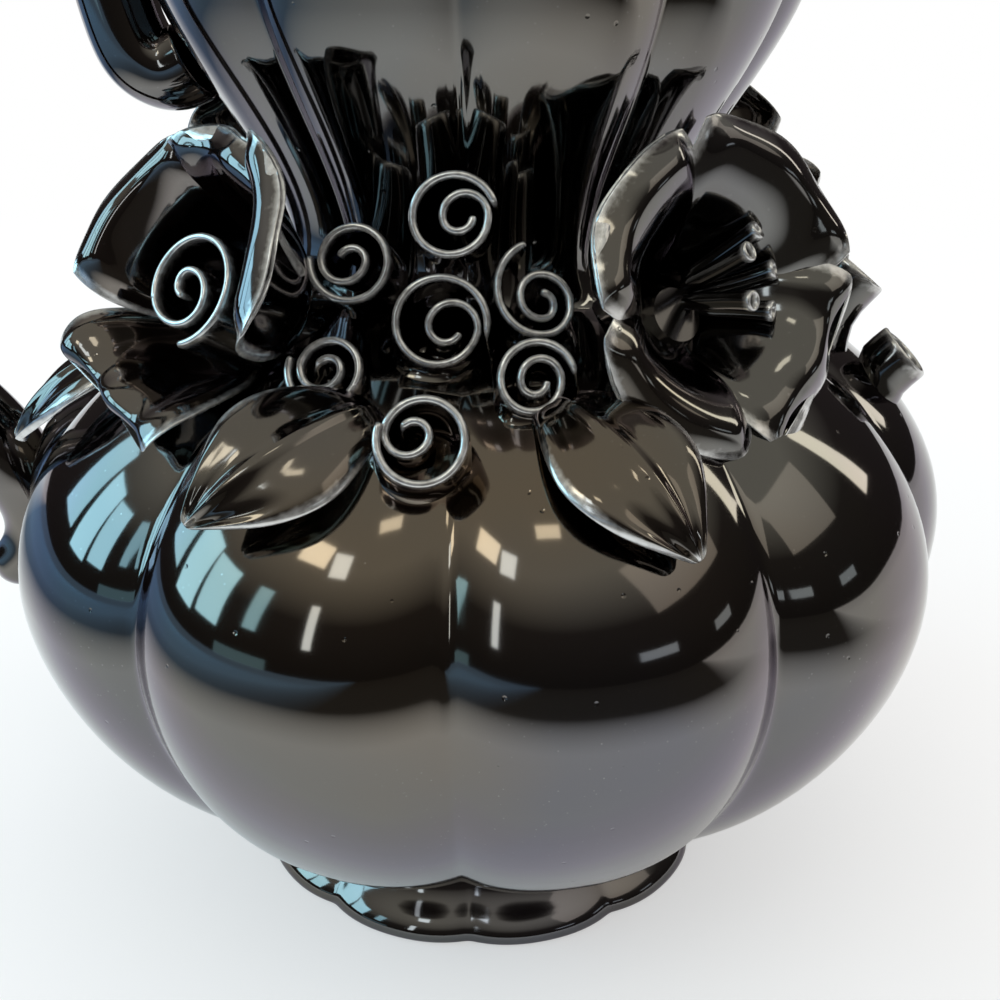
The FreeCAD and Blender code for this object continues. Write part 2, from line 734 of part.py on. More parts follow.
def add_leaves(prefix, middle, rows, neighbours):
    leaves = []
    stand = size("leaf_stand")
    for name, angle, height_share, heading, turn, roll, tip_lift, length_share, breadth_share in rows:
        place = shoulder_place(middle + angle, height_share, stand, middle + heading, LEAF_LIFT)
        pose = FreeCAD.Rotation(Vector(0, 1, 0), -tip_lift) * FreeCAD.Rotation(Vector(1, 0, 0), roll)
        place = turned(place, turn) * FreeCAD.Placement(Vector(), pose)
        length = length_share * size("leaf_length")
        breadth = breadth_share * size("leaf_breadth")
        shape = blade(place, LEAF_SHARES, length, breadth, size("leaf_thickness"))
        before = [leaf.Shape for leaf in leaves]
        leaves.append(add_node(prefix + "_leaf_" + name, seated(shape, *neighbours, *before)))
    return leaves


core = add_shape("jug_core", jug_core)
clusters = {}
for prefix, middle, rows in (("front", FRONT, CLUSTER_CURLS), ("rear", REAR, CLUSTER_CURLS),
                             ("spout", 0, SPOUT_CURLS), ("handle", 180, HANDLE_CURLS)):
    clusters[prefix] = add_cluster(prefix, middle, rows)

rose_angle = size("rose_angle")
bud_angle = size("bud_angle")
flowers = {}
for prefix, angle, heading in (("front_rose", FRONT + rose_angle, FRONT + ROSE_HEADING),
                               ("rear_rose", REAR + rose_angle, REAR + ROSE_HEADING),
                               ("front_bud", FRONT - bud_angle, FRONT - BUD_HEADING),
                               ("rear_bud", REAR - bud_angle, REAR - BUD_HEADING)):
    place = flower_place(angle, heading)
    pad = add_pad(prefix, place)
    if prefix.endswith("bud"):
        middle_piece = add_heart(prefix, place)
    else:
        middle_piece = add_stamens(prefix, place, pad)
    flowers[prefix] = (place, pad, middle_piece)
doc.recompute()

wall_shapes = [belly_solid, neck_solid]
curl_shapes = [curl.Shape for cluster in clusters.values() for curl in cluster]
set_pieces = []
for prefix, (place, pad, middle_piece) in flowers.items():
    neighbours = wall_shapes + curl_shapes + [pad.Shape, middle_piece.Shape]
    if prefix.endswith("bud"):
        petals = add_petals(prefix, place, BUD_PETALS, "bud_petal", neighbours)
    else:
        petals = add_petals(prefix, place, ROSE_PETALS, "rose_petal", neighbours)
    set_pieces += [petal.Shape for petal in petals]
for prefix, middle, rows in (("front", FRONT, CLUSTER_LEAVES), ("rear", REAR, CLUSTER_LEAVES),
                             ("handle", 180, HANDLE_LEAVES)):
    add_leaves(prefix, middle, rows, wall_shapes + curl_shapes + set_pieces)
doc.recompute()

# Check and export
for item in doc.Objects:
    if "Invalid" in item.State or "Error" in item.State:
        raise RuntimeError("%s failed: %s" % (item.Name, item.State))
for node in NODES:
    shape = node.Shape
    if shape.isNull() or not shape.isValid() or not shape.Solids:
        raise RuntimeError("%s has no sound shape" % node.Label)
    shape.exportStep("parts/%s.step" % node.Label)
    print("%-28s %8.0f mm3 in %d" % (node.Label, shape.Volume, len(shape.Solids)))
print("%d nodes" % len(NODES))
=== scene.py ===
import math

import bmesh
import bpy
from mathutils import Matrix, Vector, noise


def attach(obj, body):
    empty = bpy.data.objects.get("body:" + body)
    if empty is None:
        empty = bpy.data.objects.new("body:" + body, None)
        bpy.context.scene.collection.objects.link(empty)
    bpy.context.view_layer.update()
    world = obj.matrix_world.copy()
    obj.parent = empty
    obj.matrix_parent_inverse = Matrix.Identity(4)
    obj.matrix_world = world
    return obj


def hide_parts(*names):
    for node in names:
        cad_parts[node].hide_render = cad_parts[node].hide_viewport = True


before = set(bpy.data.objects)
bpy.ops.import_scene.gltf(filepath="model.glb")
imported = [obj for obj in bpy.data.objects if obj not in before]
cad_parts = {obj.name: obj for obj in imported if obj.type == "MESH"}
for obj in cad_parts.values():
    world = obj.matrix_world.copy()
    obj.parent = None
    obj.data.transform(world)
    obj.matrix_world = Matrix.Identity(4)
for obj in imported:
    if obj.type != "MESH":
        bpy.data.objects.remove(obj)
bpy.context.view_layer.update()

# The wall of the jug: a melon-shaped belly with ten lobes that runs up into a fluted neck and
# a pinched pouring mouth. It is slip-cast in one piece, about four millimetres thick, and is
# glazed inside and out. All sizes here are in millimetres; MM turns a finished piece to metres.
MM = 0.001
LOBES = 10
LOBE_SIDES = 30
FRONT_EASE, EASE_FOOT, EASE_HEIGHT = 0.06, 136.0, 171.0
GROOVE_DEPTH = 0.06
GROOVE_SOFTNESS = 0.03
LOBE_FULLNESS = 2.6
BELLY_RADIUS = 90.0
WIDEST_HEIGHT = 73.5
LOWER_REACH, LOWER_FULLNESS = 69.66, 1.82
UPPER_REACH, UPPER_FULLNESS = 53.91, 2.06
UNDERSIDE_HEIGHT = 8.0
SEAM_HEIGHT = 122.5
WAIST_RADIUS, WAIST_HEIGHT = 36.0, 131.0
FLARE_RADIUS, FLARE_HEIGHT = 55.4, 169.0
MOUTH_RADIUS, PINCH_HEIGHT, DRAWN_HEIGHT = 69.0, 206.0, 246.0
RIM_SWEEP = 190.0
FLARE_START, FLARE_SWELL, MOUTH_SWELL = 0.25, 1.75, 0.35
LIP_PULL, LIP_SPREAD = 0.26, 26.0
PINCH_PULL, PINCH_ANGLE, PINCH_SPREAD = 0.17, 54.0, 20.0
BELLY_WALL, NECK_WALL = 4.5, 3.6
HAND_WAVER, HAND_SPAN = 0.35, 34.0
GROOVE_CROWDING = 0.5
RIM_PASSES = 8
LEAST_RADIUS = 0.2
SAME_PLACE = 0.004


def smooth_step(share):
    share = min(max(share, 0.0), 1.0)
    return share * share * (3 - 2 * share)


def belly_curve(height):
    rise = height - WIDEST_HEIGHT
    reach, fullness = (LOWER_REACH, LOWER_FULLNESS) if rise < 0 else (UPPER_REACH, UPPER_FULLNESS)
    return BELLY_RADIUS * math.sqrt(max(1 - (abs(rise) / reach) ** fullness, 0.0))


def neck_curve(height):
    if height < WAIST_HEIGHT:
        share = (WAIST_HEIGHT - height) / (WAIST_HEIGHT - SEAM_HEIGHT)
        return WAIST_RADIUS + (belly_curve(SEAM_HEIGHT) - WAIST_RADIUS) * share * share
    if height < FLARE_HEIGHT:
        share = (height - WAIST_HEIGHT) / (FLARE_HEIGHT - WAIST_HEIGHT)
        bend = FLARE_START + FLARE_SWELL * share - share * share
        return WAIST_RADIUS + (FLARE_RADIUS - WAIST_RADIUS) * share * bend
    share = (height - FLARE_HEIGHT) / (DRAWN_HEIGHT - FLARE_HEIGHT)
    reach = (MOUTH_RADIUS - FLARE_RADIUS) * (1 - (1 - share) ** 2)
    return FLARE_RADIUS + reach * (1 + MOUTH_SWELL * share)


def wall_radius(height):
    return belly_curve(height) if height < SEAM_HEIGHT else neck_curve(height)


def lobe_keep(angle, depth):
    """One on a lobe's crest, less in the groove beside it, with the groove's line rounded by glaze."""
    step = 360.0 / LOBES
    off = abs((angle + step / 2) % step - step / 2) / (step / 2)
    left = 1 - off
    full = math.hypot(1, GROOVE_SOFTNESS) - GROOVE_SOFTNESS
    soft = (math.hypot(left, GROOVE_SOFTNESS) - GROOVE_SOFTNESS) / full
    return 1 - depth * (1 - soft) ** LOBE_FULLNESS


def mouth_pull(angle, height):
    """The lip is drawn out to one side and the mouth is pinched beside it."""
    share = smooth_step((height - FLARE_HEIGHT) / (PINCH_HEIGHT - FLARE_HEIGHT))
    off = abs((angle + 180.0) % 360.0 - 180.0)
    lip = LIP_PULL * math.exp(-((off / LIP_SPREAD) ** 2))
    pinch = PINCH_PULL * math.exp(-(((off - PINCH_ANGLE) / PINCH_SPREAD) ** 2))
    return 1 + share * (lip - pinch)


def front_ease(angle, height):
    """The neck flares a little later at the front and the rear than at the sides."""
    rise = smooth_step((height - EASE_FOOT) / (EASE_HEIGHT - EASE_FOOT))
    fall = 1 - smooth_step((height - EASE_HEIGHT) / (PINCH_HEIGHT - EASE_HEIGHT))
    return 1 - FRONT_EASE * rise * fall * math.sin(math.radians(angle)) ** 2


def around(angle, radius, height):
    a = math.radians(angle)
    return Vector((radius * math.cos(a), radius * math.sin(a), height))


def rim_height(x):
    return PINCH_HEIGHT + RIM_SWEEP - math.sqrt(RIM_SWEEP**2 - (x + NECK_WALL) ** 2)


def wall_point(angle, height, inset):
    """A place on the wall; above the flare its height is stretched to meet the swept rim."""
    place = around(angle, 1.0, height)
    level = height
    for _ in range(RIM_PASSES if height > FLARE_HEIGHT else 1):
        radius = wall_radius(level) * mouth_pull(angle, level) * front_ease(angle, level)
        radius *= lobe_keep(angle, GROOVE_DEPTH)
        place = around(angle, max(radius - inset, LEAST_RADIUS), level)
        if height > FLARE_HEIGHT:
            share = (height - FLARE_HEIGHT) / (DRAWN_HEIGHT - FLARE_HEIGHT)
            level = FLARE_HEIGHT + share * (rim_height(place.x) - FLARE_HEIGHT)
    waver = HAND_WAVER * noise.noise(place / HAND_SPAN)
    return around(angle, math.hypot(place.x, place.y) + waver, level)


def lobe_angles():
    """Directions round the jug, set closer together in the grooves."""
    step = 360.0 / LOBES
    angles = []
    for k in range(LOBES * LOBE_SIDES):
        share = (k % LOBE_SIDES) / LOBE_SIDES * 2 - 1
        crowded = share + GROOVE_CROWDING * math.sin(math.pi * share) / math.pi
        angles.append((k // LOBE_SIDES) * step + step / 2 * crowded)
    return angles


def draw_out(bm, loops, wear_and_highlight=None, caps=(True, True)):
    """Pulls a closed loop of points through the later loops and closes the two ends at a point."""
    # Each point keeps a share of pale silver: wear on the lustre and a painted highlight on rims.
    layer = bm.verts.layers.float.get("wear_and_highlight") or bm.verts.layers.float.new("wear_and_highlight")
    verts = bmesh.ops.create_circle(bm, segments=len(loops[0]), radius=1.0)["verts"]
    edges = list(dict.fromkeys(edge for vert in verts for edge in vert.link_edges))
    ends = [list(verts)]
    for number, loop in enumerate(loops):
        if number:
            made = bmesh.ops.extrude_edge_only(bm, edges=edges)["geom"]
            fresh = {item for item in made if isinstance(item, bmesh.types.BMVert)}
            verts = [next(edge.other_vert(vert) for edge in vert.link_edges
                          if edge.other_vert(vert) in fresh) for vert in verts]
            edges = [item for item in made if isinstance(item, bmesh.types.BMEdge) and item.is_boundary]
        for k, vert in enumerate(verts):
            vert.co = loop[k]
            vert[layer] = wear_and_highlight[number][k] if wear_and_highlight else 0.0
    ends.append(verts)
    for end, cap in zip(ends, caps):
        if cap:
            middle = sum((vert.co for vert in end), Vector()) / len(end)
            bmesh.ops.pointmerge(bm, verts=end, merge_co=middle)
    return ends


def finish_piece(name, bm, material, nodes, levels=0):
    """Turns clay in millimetres into an object in metres that stands for its solid nodes."""
    bmesh.ops.remove_doubles(bm, verts=bm.verts, dist=SAME_PLACE)
    bmesh.ops.recalc_face_normals(bm, faces=bm.faces)
    if bm.calc_volume(signed=True) < 0:
        bmesh.ops.reverse_faces(bm, faces=bm.faces)
    bmesh.ops.scale(bm, vec=(MM, MM, MM), verts=bm.verts)
    mesh = bpy.data.meshes.new(name)
    bm.to_mesh(mesh)
    bm.free()
    mesh.shade_smooth()
    mesh.materials.append(material)
    piece = bpy.data.objects.new(name, mesh)
    bpy.context.scene.collection.objects.link(piece)
    if levels:
        soften = piece.modifiers.new("soften", "SUBSURF")
        soften.levels = levels
        soften.render_levels = levels
    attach(piece, "root")
    if nodes:
        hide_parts(*nodes)
    return piece


# The glaze is a black lustre: mirror-bright like gunmetal, with thin clouds of violet, blue
# and amber, fine pinholes, a faint ripple and a little dust that has settled on it.
LUSTRE_GROUND = (0.149, 0.143, 0.134, 1)
LUSTRE_COOL = (0.135, 0.13, 0.152, 1)
LUSTRE_WARM = (0.185, 0.145, 0.105, 1)
# Pale silver on rims and edges: partly wear on the lustre, partly a painted highlight.
WEAR_AND_HIGHLIGHT_SILVER = (0.83, 0.82, 0.80, 1)
DUST_GREY = (0.34, 0.33, 0.32, 1)
COAT_WEIGHT, COAT_ROUGHNESS = 0.35, 0.02
WEAR_AND_HIGHLIGHT_ROUGHNESS, WEAR_AND_HIGHLIGHT_METAL = 0.29, 0.72
SMEARED = 2.2
# The film's tint by how far the surface turns away from the eye.
FILM_WHITE, FILM_VIOLET, FILM_AMBER = (1.0, 1.0, 1.0, 1), (0.86, 0.66, 1.0, 1), (1.0, 0.86, 0.66, 1)
FILM_TURNS = (0.42, 0.68, 0.96)
FILM_STRENGTH = 0.8
RIPPLE_STRENGTH, RIPPLE_HEIGHT = 0.35, 0.0004
FIRST_COLOUR, SECOND_COLOUR, MIXED_COLOUR = 6, 7, 2


def mixed(nodes, links, share, first, second, kind="MIX"):
    """The mix of two colours; a share or a colour is a socket or a plain value."""
    mix = nodes.new("ShaderNodeMix")
    mix.data_type = "RGBA"
    mix.blend_type = kind
    sockets = (mix.inputs["Factor"], mix.inputs[FIRST_COLOUR], mix.inputs[SECOND_COLOUR])
    for socket, value in zip(sockets, (share, first, second)):
        if isinstance(value, bpy.types.NodeSocket):
            links.new(value, socket)
        else:
            socket.default_value = value
    return mix.outputs[MIXED_COLOUR]


def shader_group(name, inputs, outputs):
    group = bpy.data.node_groups.new(name, "ShaderNodeTree")
    for label, kind, value in inputs:
        socket = group.interface.new_socket(label, in_out="INPUT", socket_type=kind)
        socket.default_value = value
    for label, kind in outputs:
        group.interface.new_socket(label, in_out="OUTPUT", socket_type=kind)
    return group, group.nodes.new("NodeGroupInput"), group.nodes.new("NodeGroupOutput")


def lustre_group():
    """Slow clouds of tint, as in a thin metal film over black glaze."""
    group, given, out = shader_group(
        "lustre clouds",
        [("Ground", "NodeSocketColor", LUSTRE_GROUND), ("Cool", "NodeSocketColor", LUSTRE_COOL),
         ("Warm", "NodeSocketColor", LUSTRE_WARM), ("Cloud Scale", "NodeSocketFloat", 14.0)],
        [("Color", "NodeSocketColor")])
    nodes, links = group.nodes, group.links
    coords = nodes.new("ShaderNodeTexCoord")
    clouds = []
    for offset in ((0.0, 0.0, 0.0), (3.1, 1.7, 4.2)):
        shift = nodes.new("ShaderNodeMapping")
        shift.inputs["Location"].default_value = offset
        links.new(coords.outputs["Object"], shift.inputs["Vector"])
        cloud = nodes.new("ShaderNodeTexNoise")
        cloud.inputs["Detail"].default_value = 3.0
        cloud.inputs["Roughness"].default_value = 0.45
        links.new(given.outputs["Cloud Scale"], cloud.inputs["Scale"])
        links.new(shift.outputs["Vector"], cloud.inputs["Vector"])
        spread = nodes.new("ShaderNodeMapRange")
        spread.inputs["From Min"].default_value = 0.48
        spread.inputs["From Max"].default_value = 0.78
        links.new(cloud.outputs["Fac"], spread.inputs["Value"])
        clouds.append(spread.outputs["Result"])
    cooled = mixed(nodes, links, clouds[0], given.outputs["Ground"], given.outputs["Cool"])
    warmed = mixed(nodes, links, clouds[1], cooled, given.outputs["Warm"])
    links.new(warmed, out.inputs["Color"])
    return group


def flaw_group():
    """Ripple and pinholes as a height, dust and smears as masks."""
    group, given, out = shader_group(
        "glaze flaws",
        [("Ripple", "NodeSocketFloat", 0.25), ("Pinholes", "NodeSocketFloat", 0.5),
         ("Dust", "NodeSocketFloat", 0.5)],
        [("Height", "NodeSocketFloat"), ("Dust Mask", "NodeSocketFloat"), ("Smear", "NodeSocketFloat")])
    nodes, links = group.nodes, group.links
    coords = nodes.new("ShaderNodeTexCoord")

    def noise_at(scale, detail):
        node = nodes.new("ShaderNodeTexNoise")
        node.inputs["Scale"].default_value = scale
        node.inputs["Detail"].default_value = detail
        links.new(coords.outputs["Object"], node.inputs["Vector"])
        return node.outputs["Fac"]

    def specks_at(scale, size):
        cells = nodes.new("ShaderNodeTexVoronoi")
        cells.inputs["Scale"].default_value = scale
        links.new(coords.outputs["Object"], cells.inputs["Vector"])
        dot = nodes.new("ShaderNodeMapRange")
        dot.inputs["From Min"].default_value = size
        dot.inputs["From Max"].default_value = size * 0.4
        links.new(cells.outputs["Distance"], dot.inputs["Value"])
        return dot.outputs["Result"]

    def sum_of(operation, first, second):
        node = nodes.new("ShaderNodeMath")
        node.operation = operation
        for socket, value in zip(node.inputs, (first, second)):
            if isinstance(value, float):
                socket.default_value = value
            else:
                links.new(value, socket)
        return node.outputs["Value"]

    ripple = sum_of("MULTIPLY", noise_at(55.0, 1.5), given.outputs["Ripple"])
    holes = sum_of("MULTIPLY", specks_at(170.0, 0.07), given.outputs["Pinholes"])
    links.new(sum_of("SUBTRACT", ripple, holes), out.inputs["Height"])
    patchy = nodes.new("ShaderNodeMapRange")
    patchy.inputs["From Min"].default_value = 0.45
    patchy.inputs["From Max"].default_value = 0.7
    links.new(noise_at(26.0, 3.0), patchy.inputs["Value"])
    dust = sum_of("MULTIPLY", specks_at(620.0, 0.11), patchy.outputs["Result"])
    links.new(sum_of("MULTIPLY", dust, given.outputs["Dust"]), out.inputs["Dust Mask"])
    links.new(noise_at(18.0, 5.0), out.inputs["Smear"])
    return group


def wear_and_highlight_group():
    """Thin places where the lustre has gone through to pale silver from wear, together with a painted
    highlight along the rims, broken up by noise.
    """
    group, given, out = shader_group(
        "rim wear and painted highlight", [("Reach", "NodeSocketFloat", 0.5), ("Break Scale", "NodeSocketFloat", 900.0)],
        [("Mask", "NodeSocketFloat")])
    nodes, links = group.nodes, group.links
    place = nodes.new("ShaderNodeAttribute")
    place.attribute_name = "wear_and_highlight"
    coords = nodes.new("ShaderNodeTexCoord")
    broken = nodes.new("ShaderNodeTexNoise")
    broken.inputs["Detail"].default_value = 4.0
    links.new(given.outputs["Break Scale"], broken.inputs["Scale"])
    links.new(coords.outputs["Object"], broken.inputs["Vector"])
    lift = nodes.new("ShaderNodeMath")
    lift.operation = "MULTIPLY_ADD"
    links.new(broken.outputs["Fac"], lift.inputs[0])
    lift.inputs[1].default_value = 0.9
    links.new(place.outputs["Fac"], lift.inputs[2])
    limit = nodes.new("ShaderNodeMath")
    limit.operation = "SUBTRACT"
    limit.inputs[0].default_value = 1.75
    links.new(given.outputs["Reach"], limit.inputs[1])
    mask = nodes.new("ShaderNodeMapRange")
    links.new(limit.outputs["Value"], mask.inputs["From Min"])
    mask.inputs["From Max"].default_value = 1.75
    links.new(lift.outputs["Value"], mask.inputs["Value"])
    links.new(mask.outputs["Result"], out.inputs["Mask"])
    return group


LUSTRE = lustre_group()
FLAWS = flaw_group()
WEAR_AND_HIGHLIGHT = wear_and_highlight_group()


def glaze(name, ripple, pinholes, dust, reach, roughness):
    """The lustre as a material; reach is how far the pale silver of wear and painted rim highlight spreads.
    """
    material = bpy.data.materials.new(name)
    material.use_nodes = True
    nodes, links = material.node_tree.nodes, material.node_tree.links
    shader = nodes["Principled BSDF"]
    shader.inputs["Coat Weight"].default_value = COAT_WEIGHT
    shader.inputs["Coat Roughness"].default_value = COAT_ROUGHNESS
    placed = {}
    for key, group in (("lustre", LUSTRE), ("flaws", FLAWS), ("wear_and_highlight", WEAR_AND_HIGHLIGHT)):
        placed[key] = nodes.new("ShaderNodeGroup")
        placed[key].node_tree = group
    lustre, flaws, wear_and_highlight = placed["lustre"], placed["flaws"], placed["wear_and_highlight"]
    flaws.inputs["Ripple"].default_value = ripple
    flaws.inputs["Pinholes"].default_value = pinholes
    flaws.inputs["Dust"].default_value = dust
    wear_and_highlight.inputs["Reach"].default_value = reach
    film = nodes.new("ShaderNodeLayerWeight")
    film.inputs["Blend"].default_value = 0.5
    bands = nodes.new("ShaderNodeValToRGB")
    white, amber = bands.color_ramp.elements
    white.position, white.color = FILM_TURNS[0], FILM_WHITE
    amber.position, amber.color = FILM_TURNS[2], FILM_AMBER
    bands.color_ramp.elements.new(FILM_TURNS[1]).color = FILM_VIOLET
    links.new(film.outputs["Facing"], bands.inputs["Fac"])
    tinted = mixed(nodes, links, FILM_STRENGTH, lustre.outputs["Color"], bands.outputs["Color"], "MULTIPLY")
    # Pale silver on the rims and edges: wear on the lustre and a painted highlight.
    silver_and_highlight = mixed(nodes, links, wear_and_highlight.outputs["Mask"], tinted, WEAR_AND_HIGHLIGHT_SILVER)
    dusty = mixed(nodes, links, flaws.outputs["Dust Mask"], silver_and_highlight, DUST_GREY)
    links.new(dusty, shader.inputs["Base Color"])
    gloss = nodes.new("ShaderNodeMapRange")
    gloss.inputs["From Min"].default_value = 0.3
    gloss.inputs["From Max"].default_value = 0.8
    gloss.inputs["To Min"].default_value = roughness
    gloss.inputs["To Max"].default_value = roughness * SMEARED
    links.new(flaws.outputs["Smear"], gloss.inputs["Value"])
    rough = nodes.new("ShaderNodeMix")
    rough.inputs[3].default_value = WEAR_AND_HIGHLIGHT_ROUGHNESS
    links.new(wear_and_highlight.outputs["Mask"], rough.inputs["Factor"])
    links.new(gloss.outputs["Result"], rough.inputs[2])
    links.new(rough.outputs[0], shader.inputs["Roughness"])
    metal = nodes.new("ShaderNodeMapRange")
    metal.inputs["To Min"].default_value = 1.0
    metal.inputs["To Max"].default_value = WEAR_AND_HIGHLIGHT_METAL
    links.new(wear_and_highlight.outputs["Mask"], metal.inputs["Value"])
    links.new(metal.outputs["Result"], shader.inputs["Metallic"])
    bump = nodes.new("ShaderNodeBump")
    bump.inputs["Strength"].default_value = RIPPLE_STRENGTH
    bump.inputs["Distance"].default_value = RIPPLE_HEIGHT
    links.new(flaws.outputs["Height"], bump.inputs["Height"])
    links.new(bump.outputs["Normal"], shader.inputs["Normal"])
    return material


WALL_GLAZE = glaze("black lustre on the wall", 0.5, 0.6, 0.8, 0.0, 0.045)

LOWER_STEPS, UPPER_STEPS, NECK_STEPS, MOUTH_STEPS, HOLLOW_STEPS = 34, 30, 24, 22, 35
FLOOR_SHARES = (0.35, 0.7, 0.92, 0.985)
HOLLOW_SHARES = (0.9, 0.5, 0.1)
RIM_TURNS = (20, 50, 90, 130, 160)
SLOPE_SPAN = 0.4
SEAM_REACH, SEAM_OUTSIDE, SEAM_PASSES = 4.0, 33.0, 10
OUTSIDE_HEIGHTS = [UNDERSIDE_HEIGHT + (WIDEST_HEIGHT - UNDERSIDE_HEIGHT)
                   * (1 - math.cos(k / LOWER_STEPS * math.pi / 2)) for k in range(LOWER_STEPS + 1)]
OUTSIDE_HEIGHTS += [WIDEST_HEIGHT + (SEAM_HEIGHT - WIDEST_HEIGHT)
                    * math.sin(k / UPPER_STEPS * math.pi / 2) for k in range(1, UPPER_STEPS + 1)]
NECK_HEIGHTS = [SEAM_HEIGHT + (FLARE_HEIGHT - SEAM_HEIGHT) * k / NECK_STEPS
                for k in range(1, NECK_STEPS + 1)]
NECK_HEIGHTS += [FLARE_HEIGHT + (DRAWN_HEIGHT - FLARE_HEIGHT) * k / MOUTH_STEPS
                 for k in range(1, MOUTH_STEPS)]
OUTSIDE_HEIGHTS += NECK_HEIGHTS


def build_wall():
    """From the middle of the underside up the outside, over the rim and down the hollow."""
    angles = lobe_angles()
    loops = [[around(a, 2.0, UNDERSIDE_HEIGHT) for a in angles]]
    for share in FLOOR_SHARES:
        radius, depth = belly_curve(UNDERSIDE_HEIGHT) * share, GROOVE_DEPTH * share
        loops.append([around(a, radius * lobe_keep(a, depth), UNDERSIDE_HEIGHT) for a in angles])
    for height in OUTSIDE_HEIGHTS:
        loops.append([wall_point(a, height, 0.0) for a in angles])
    half = NECK_WALL / 2
    for turn in RIM_TURNS:
        inset = half * (1 - math.cos(math.radians(turn)))
        drop = half * (1 - math.sin(math.radians(turn)))
        loops.append([wall_point(a, DRAWN_HEIGHT, inset) - Vector((0, 0, drop)) for a in angles])
    for height in reversed(NECK_HEIGHTS):
        loops.append([wall_point(a, height, NECK_WALL) for a in angles])
    hollow_top = SEAM_HEIGHT - BELLY_WALL
    floor = UNDERSIDE_HEIGHT + BELLY_WALL
    for k in range(HOLLOW_STEPS + 1):
        height = hollow_top - (hollow_top - floor) * (0.5 - 0.5 * math.cos(k / HOLLOW_STEPS * math.pi))
        lean = (belly_curve(height + SLOPE_SPAN) - belly_curve(height - SLOPE_SPAN)) / (2 * SLOPE_SPAN)
        shift = BELLY_WALL * lean / math.hypot(1, lean)
        radius = belly_curve(height - shift) - BELLY_WALL / math.hypot(1, lean)
        loops.append([around(a, radius * lobe_keep(a, GROOVE_DEPTH), height) for a in angles])
    for share in HOLLOW_SHARES:
        loops.append([around(a, radius * share, floor) for a in angles])
    bm = bmesh.new()
    draw_out(bm, loops)
    return bm


wall_clay = build_wall()
seam_ring = [v for v in wall_clay.verts
             if abs(v.co.z - SEAM_HEIGHT) < SEAM_REACH and math.hypot(v.co.x, v.co.y) > SEAM_OUTSIDE]
for _ in range(SEAM_PASSES):
    bmesh.ops.smooth_vert(wall_clay, verts=seam_ring, factor=0.5,
                          use_axis_x=True, use_axis_y=True, use_axis_z=True)
finish_piece("jug_wall", wall_clay, WALL_GLAZE, ["belly", "neck"])

# The foot: a low turned ring with the belly's lobes in a softer form, luted under the belly.
# Glaze has run into the corner where it meets the belly and has rounded its lower edge.
FOOT_RADIUS, FOOT_WALL = 49.0, 5.5
FOOT_GROOVE = 0.035
# Rows: out from the foot's radius, up from the ground; first the outside, then the hollow.
FOOT_PROFILE = [
    (1.0 - FOOT_WALL, 0.0), (-1.2, 0.0), (-0.35, 0.25), (0.0, 0.9), (-0.05, 1.8), (-0.5, 2.9), (-1.6, 4.1),
    (-3.2, 5.5), (-5.0, 7.2), (-6.6, 9.2), (-7.2, 11.0), (-6.6, 12.6), (-5.6, 13.8),
]
FOOT_HOLLOW = [(-6.5, 13.8), (-11.0, 13.0), (-11.5, 10.0), (-8.5, 4.0), (-5.8, 0.7), (-5.2, 0.15)]


def build_foot():
    angles = lobe_angles()[::2]
    loops = []
    for out, height in FOOT_PROFILE:
        loops.append([around(a, (FOOT_RADIUS + out) * lobe_keep(a, FOOT_GROOVE), height) for a in angles])
    for out, height in FOOT_HOLLOW:
        loops.append([around(a, (FOOT_RADIUS + out) * (1 - FOOT_GROOVE), height) for a in angles])
    bm = bmesh.new()
    ends = draw_out(bm, loops, caps=(False, False))
    rims = dict.fromkeys(e for end in ends for v in end for e in v.link_edges if e.is_boundary)
    bmesh.ops.bridge_loops(bm, edges=list(rims))
    return bm


FOOT_GLAZE = glaze("black lustre on the foot", 0.7, 0.8, 0.3, 0.0, 0.05)
finish_piece("foot_ring", build_foot(), FOOT_GLAZE, ["foot"], levels=1)

# The handle: one pulled strap of clay. It is pressed on the neck, swings up and out in a loop,
# comes down to the belly and ends in a short tail that curls away from the wall.
HANDLE_GIRTH, HANDLE_DEPTH = 14.5, 13.5
# Rows: how far out, how high, girth kept.
HANDLE_LINE = [
    (50.0, 158.6, 1.10), (54.0, 156.7, 1.06), (57.5, 157.2, 1.05), (61.5, 160.6, 1.06), (64.4, 172.2, 1.00),
    (68.4, 192.9, 0.98), (83.0, 217.6, 0.98), (101.8, 228.4, 0.98),
    (123.5, 224.8, 0.98), (137.6, 211.2, 1.00), (140.4, 183.0, 1.00),
    (135.4, 145.7, 1.00), (123.4, 115.1, 1.03), (109.6, 98.3, 1.10), (98.7, 85.1, 1.18), (93.8, 74.5, 1.10),
    (94.1, 65.5, 0.84), (97.3, 58.6, 0.88), (103.1, 54.2, 0.74),
]
HANDLE_STEPS = 7
HANDLE_SIDES = 36
HANDLE_EASE = 9
TAIL_STEPS = 5.0
THUMB_GROOVE, THUMB_SPREAD = 0.07, 0.02
HANDLE_WAVER, HANDLE_SPAN = 0.03, 12.0
HANDLE_SEATED = 1.4


def between(rows, place):
    """A smooth curve through evenly counted rows of numbers."""
    k = min(int(place), len(rows) - 2)
    t = place - k
    p0, p1, p2, p3 = rows[max(k - 1, 0)], rows[k], rows[k + 1], rows[min(k + 2, len(rows) - 1)]
    values = []
    for a, b, c, d in zip(p0, p1, p2, p3):
        square, cube = 2 * a - 5 * b + 4 * c - d, 3 * b - a - 3 * c + d
        values.append(0.5 * (2 * b + (c - a) * t + square * t * t + cube * t**3))
    return values


def outside_wall(point, depth):
    """Moves a point that is deep in the wall back out, so that nothing shows inside the jug."""
    radius = math.hypot(point.x, point.y)
    angle = math.degrees(math.atan2(point.y, point.x))
    height = min(max(point.z, UNDERSIDE_HEIGHT + 1.0), FLARE_HEIGHT)
    least = wall_radius(height) * lobe_keep(angle, GROOVE_DEPTH) - depth
    return around(angle, max(radius, least), point.z)


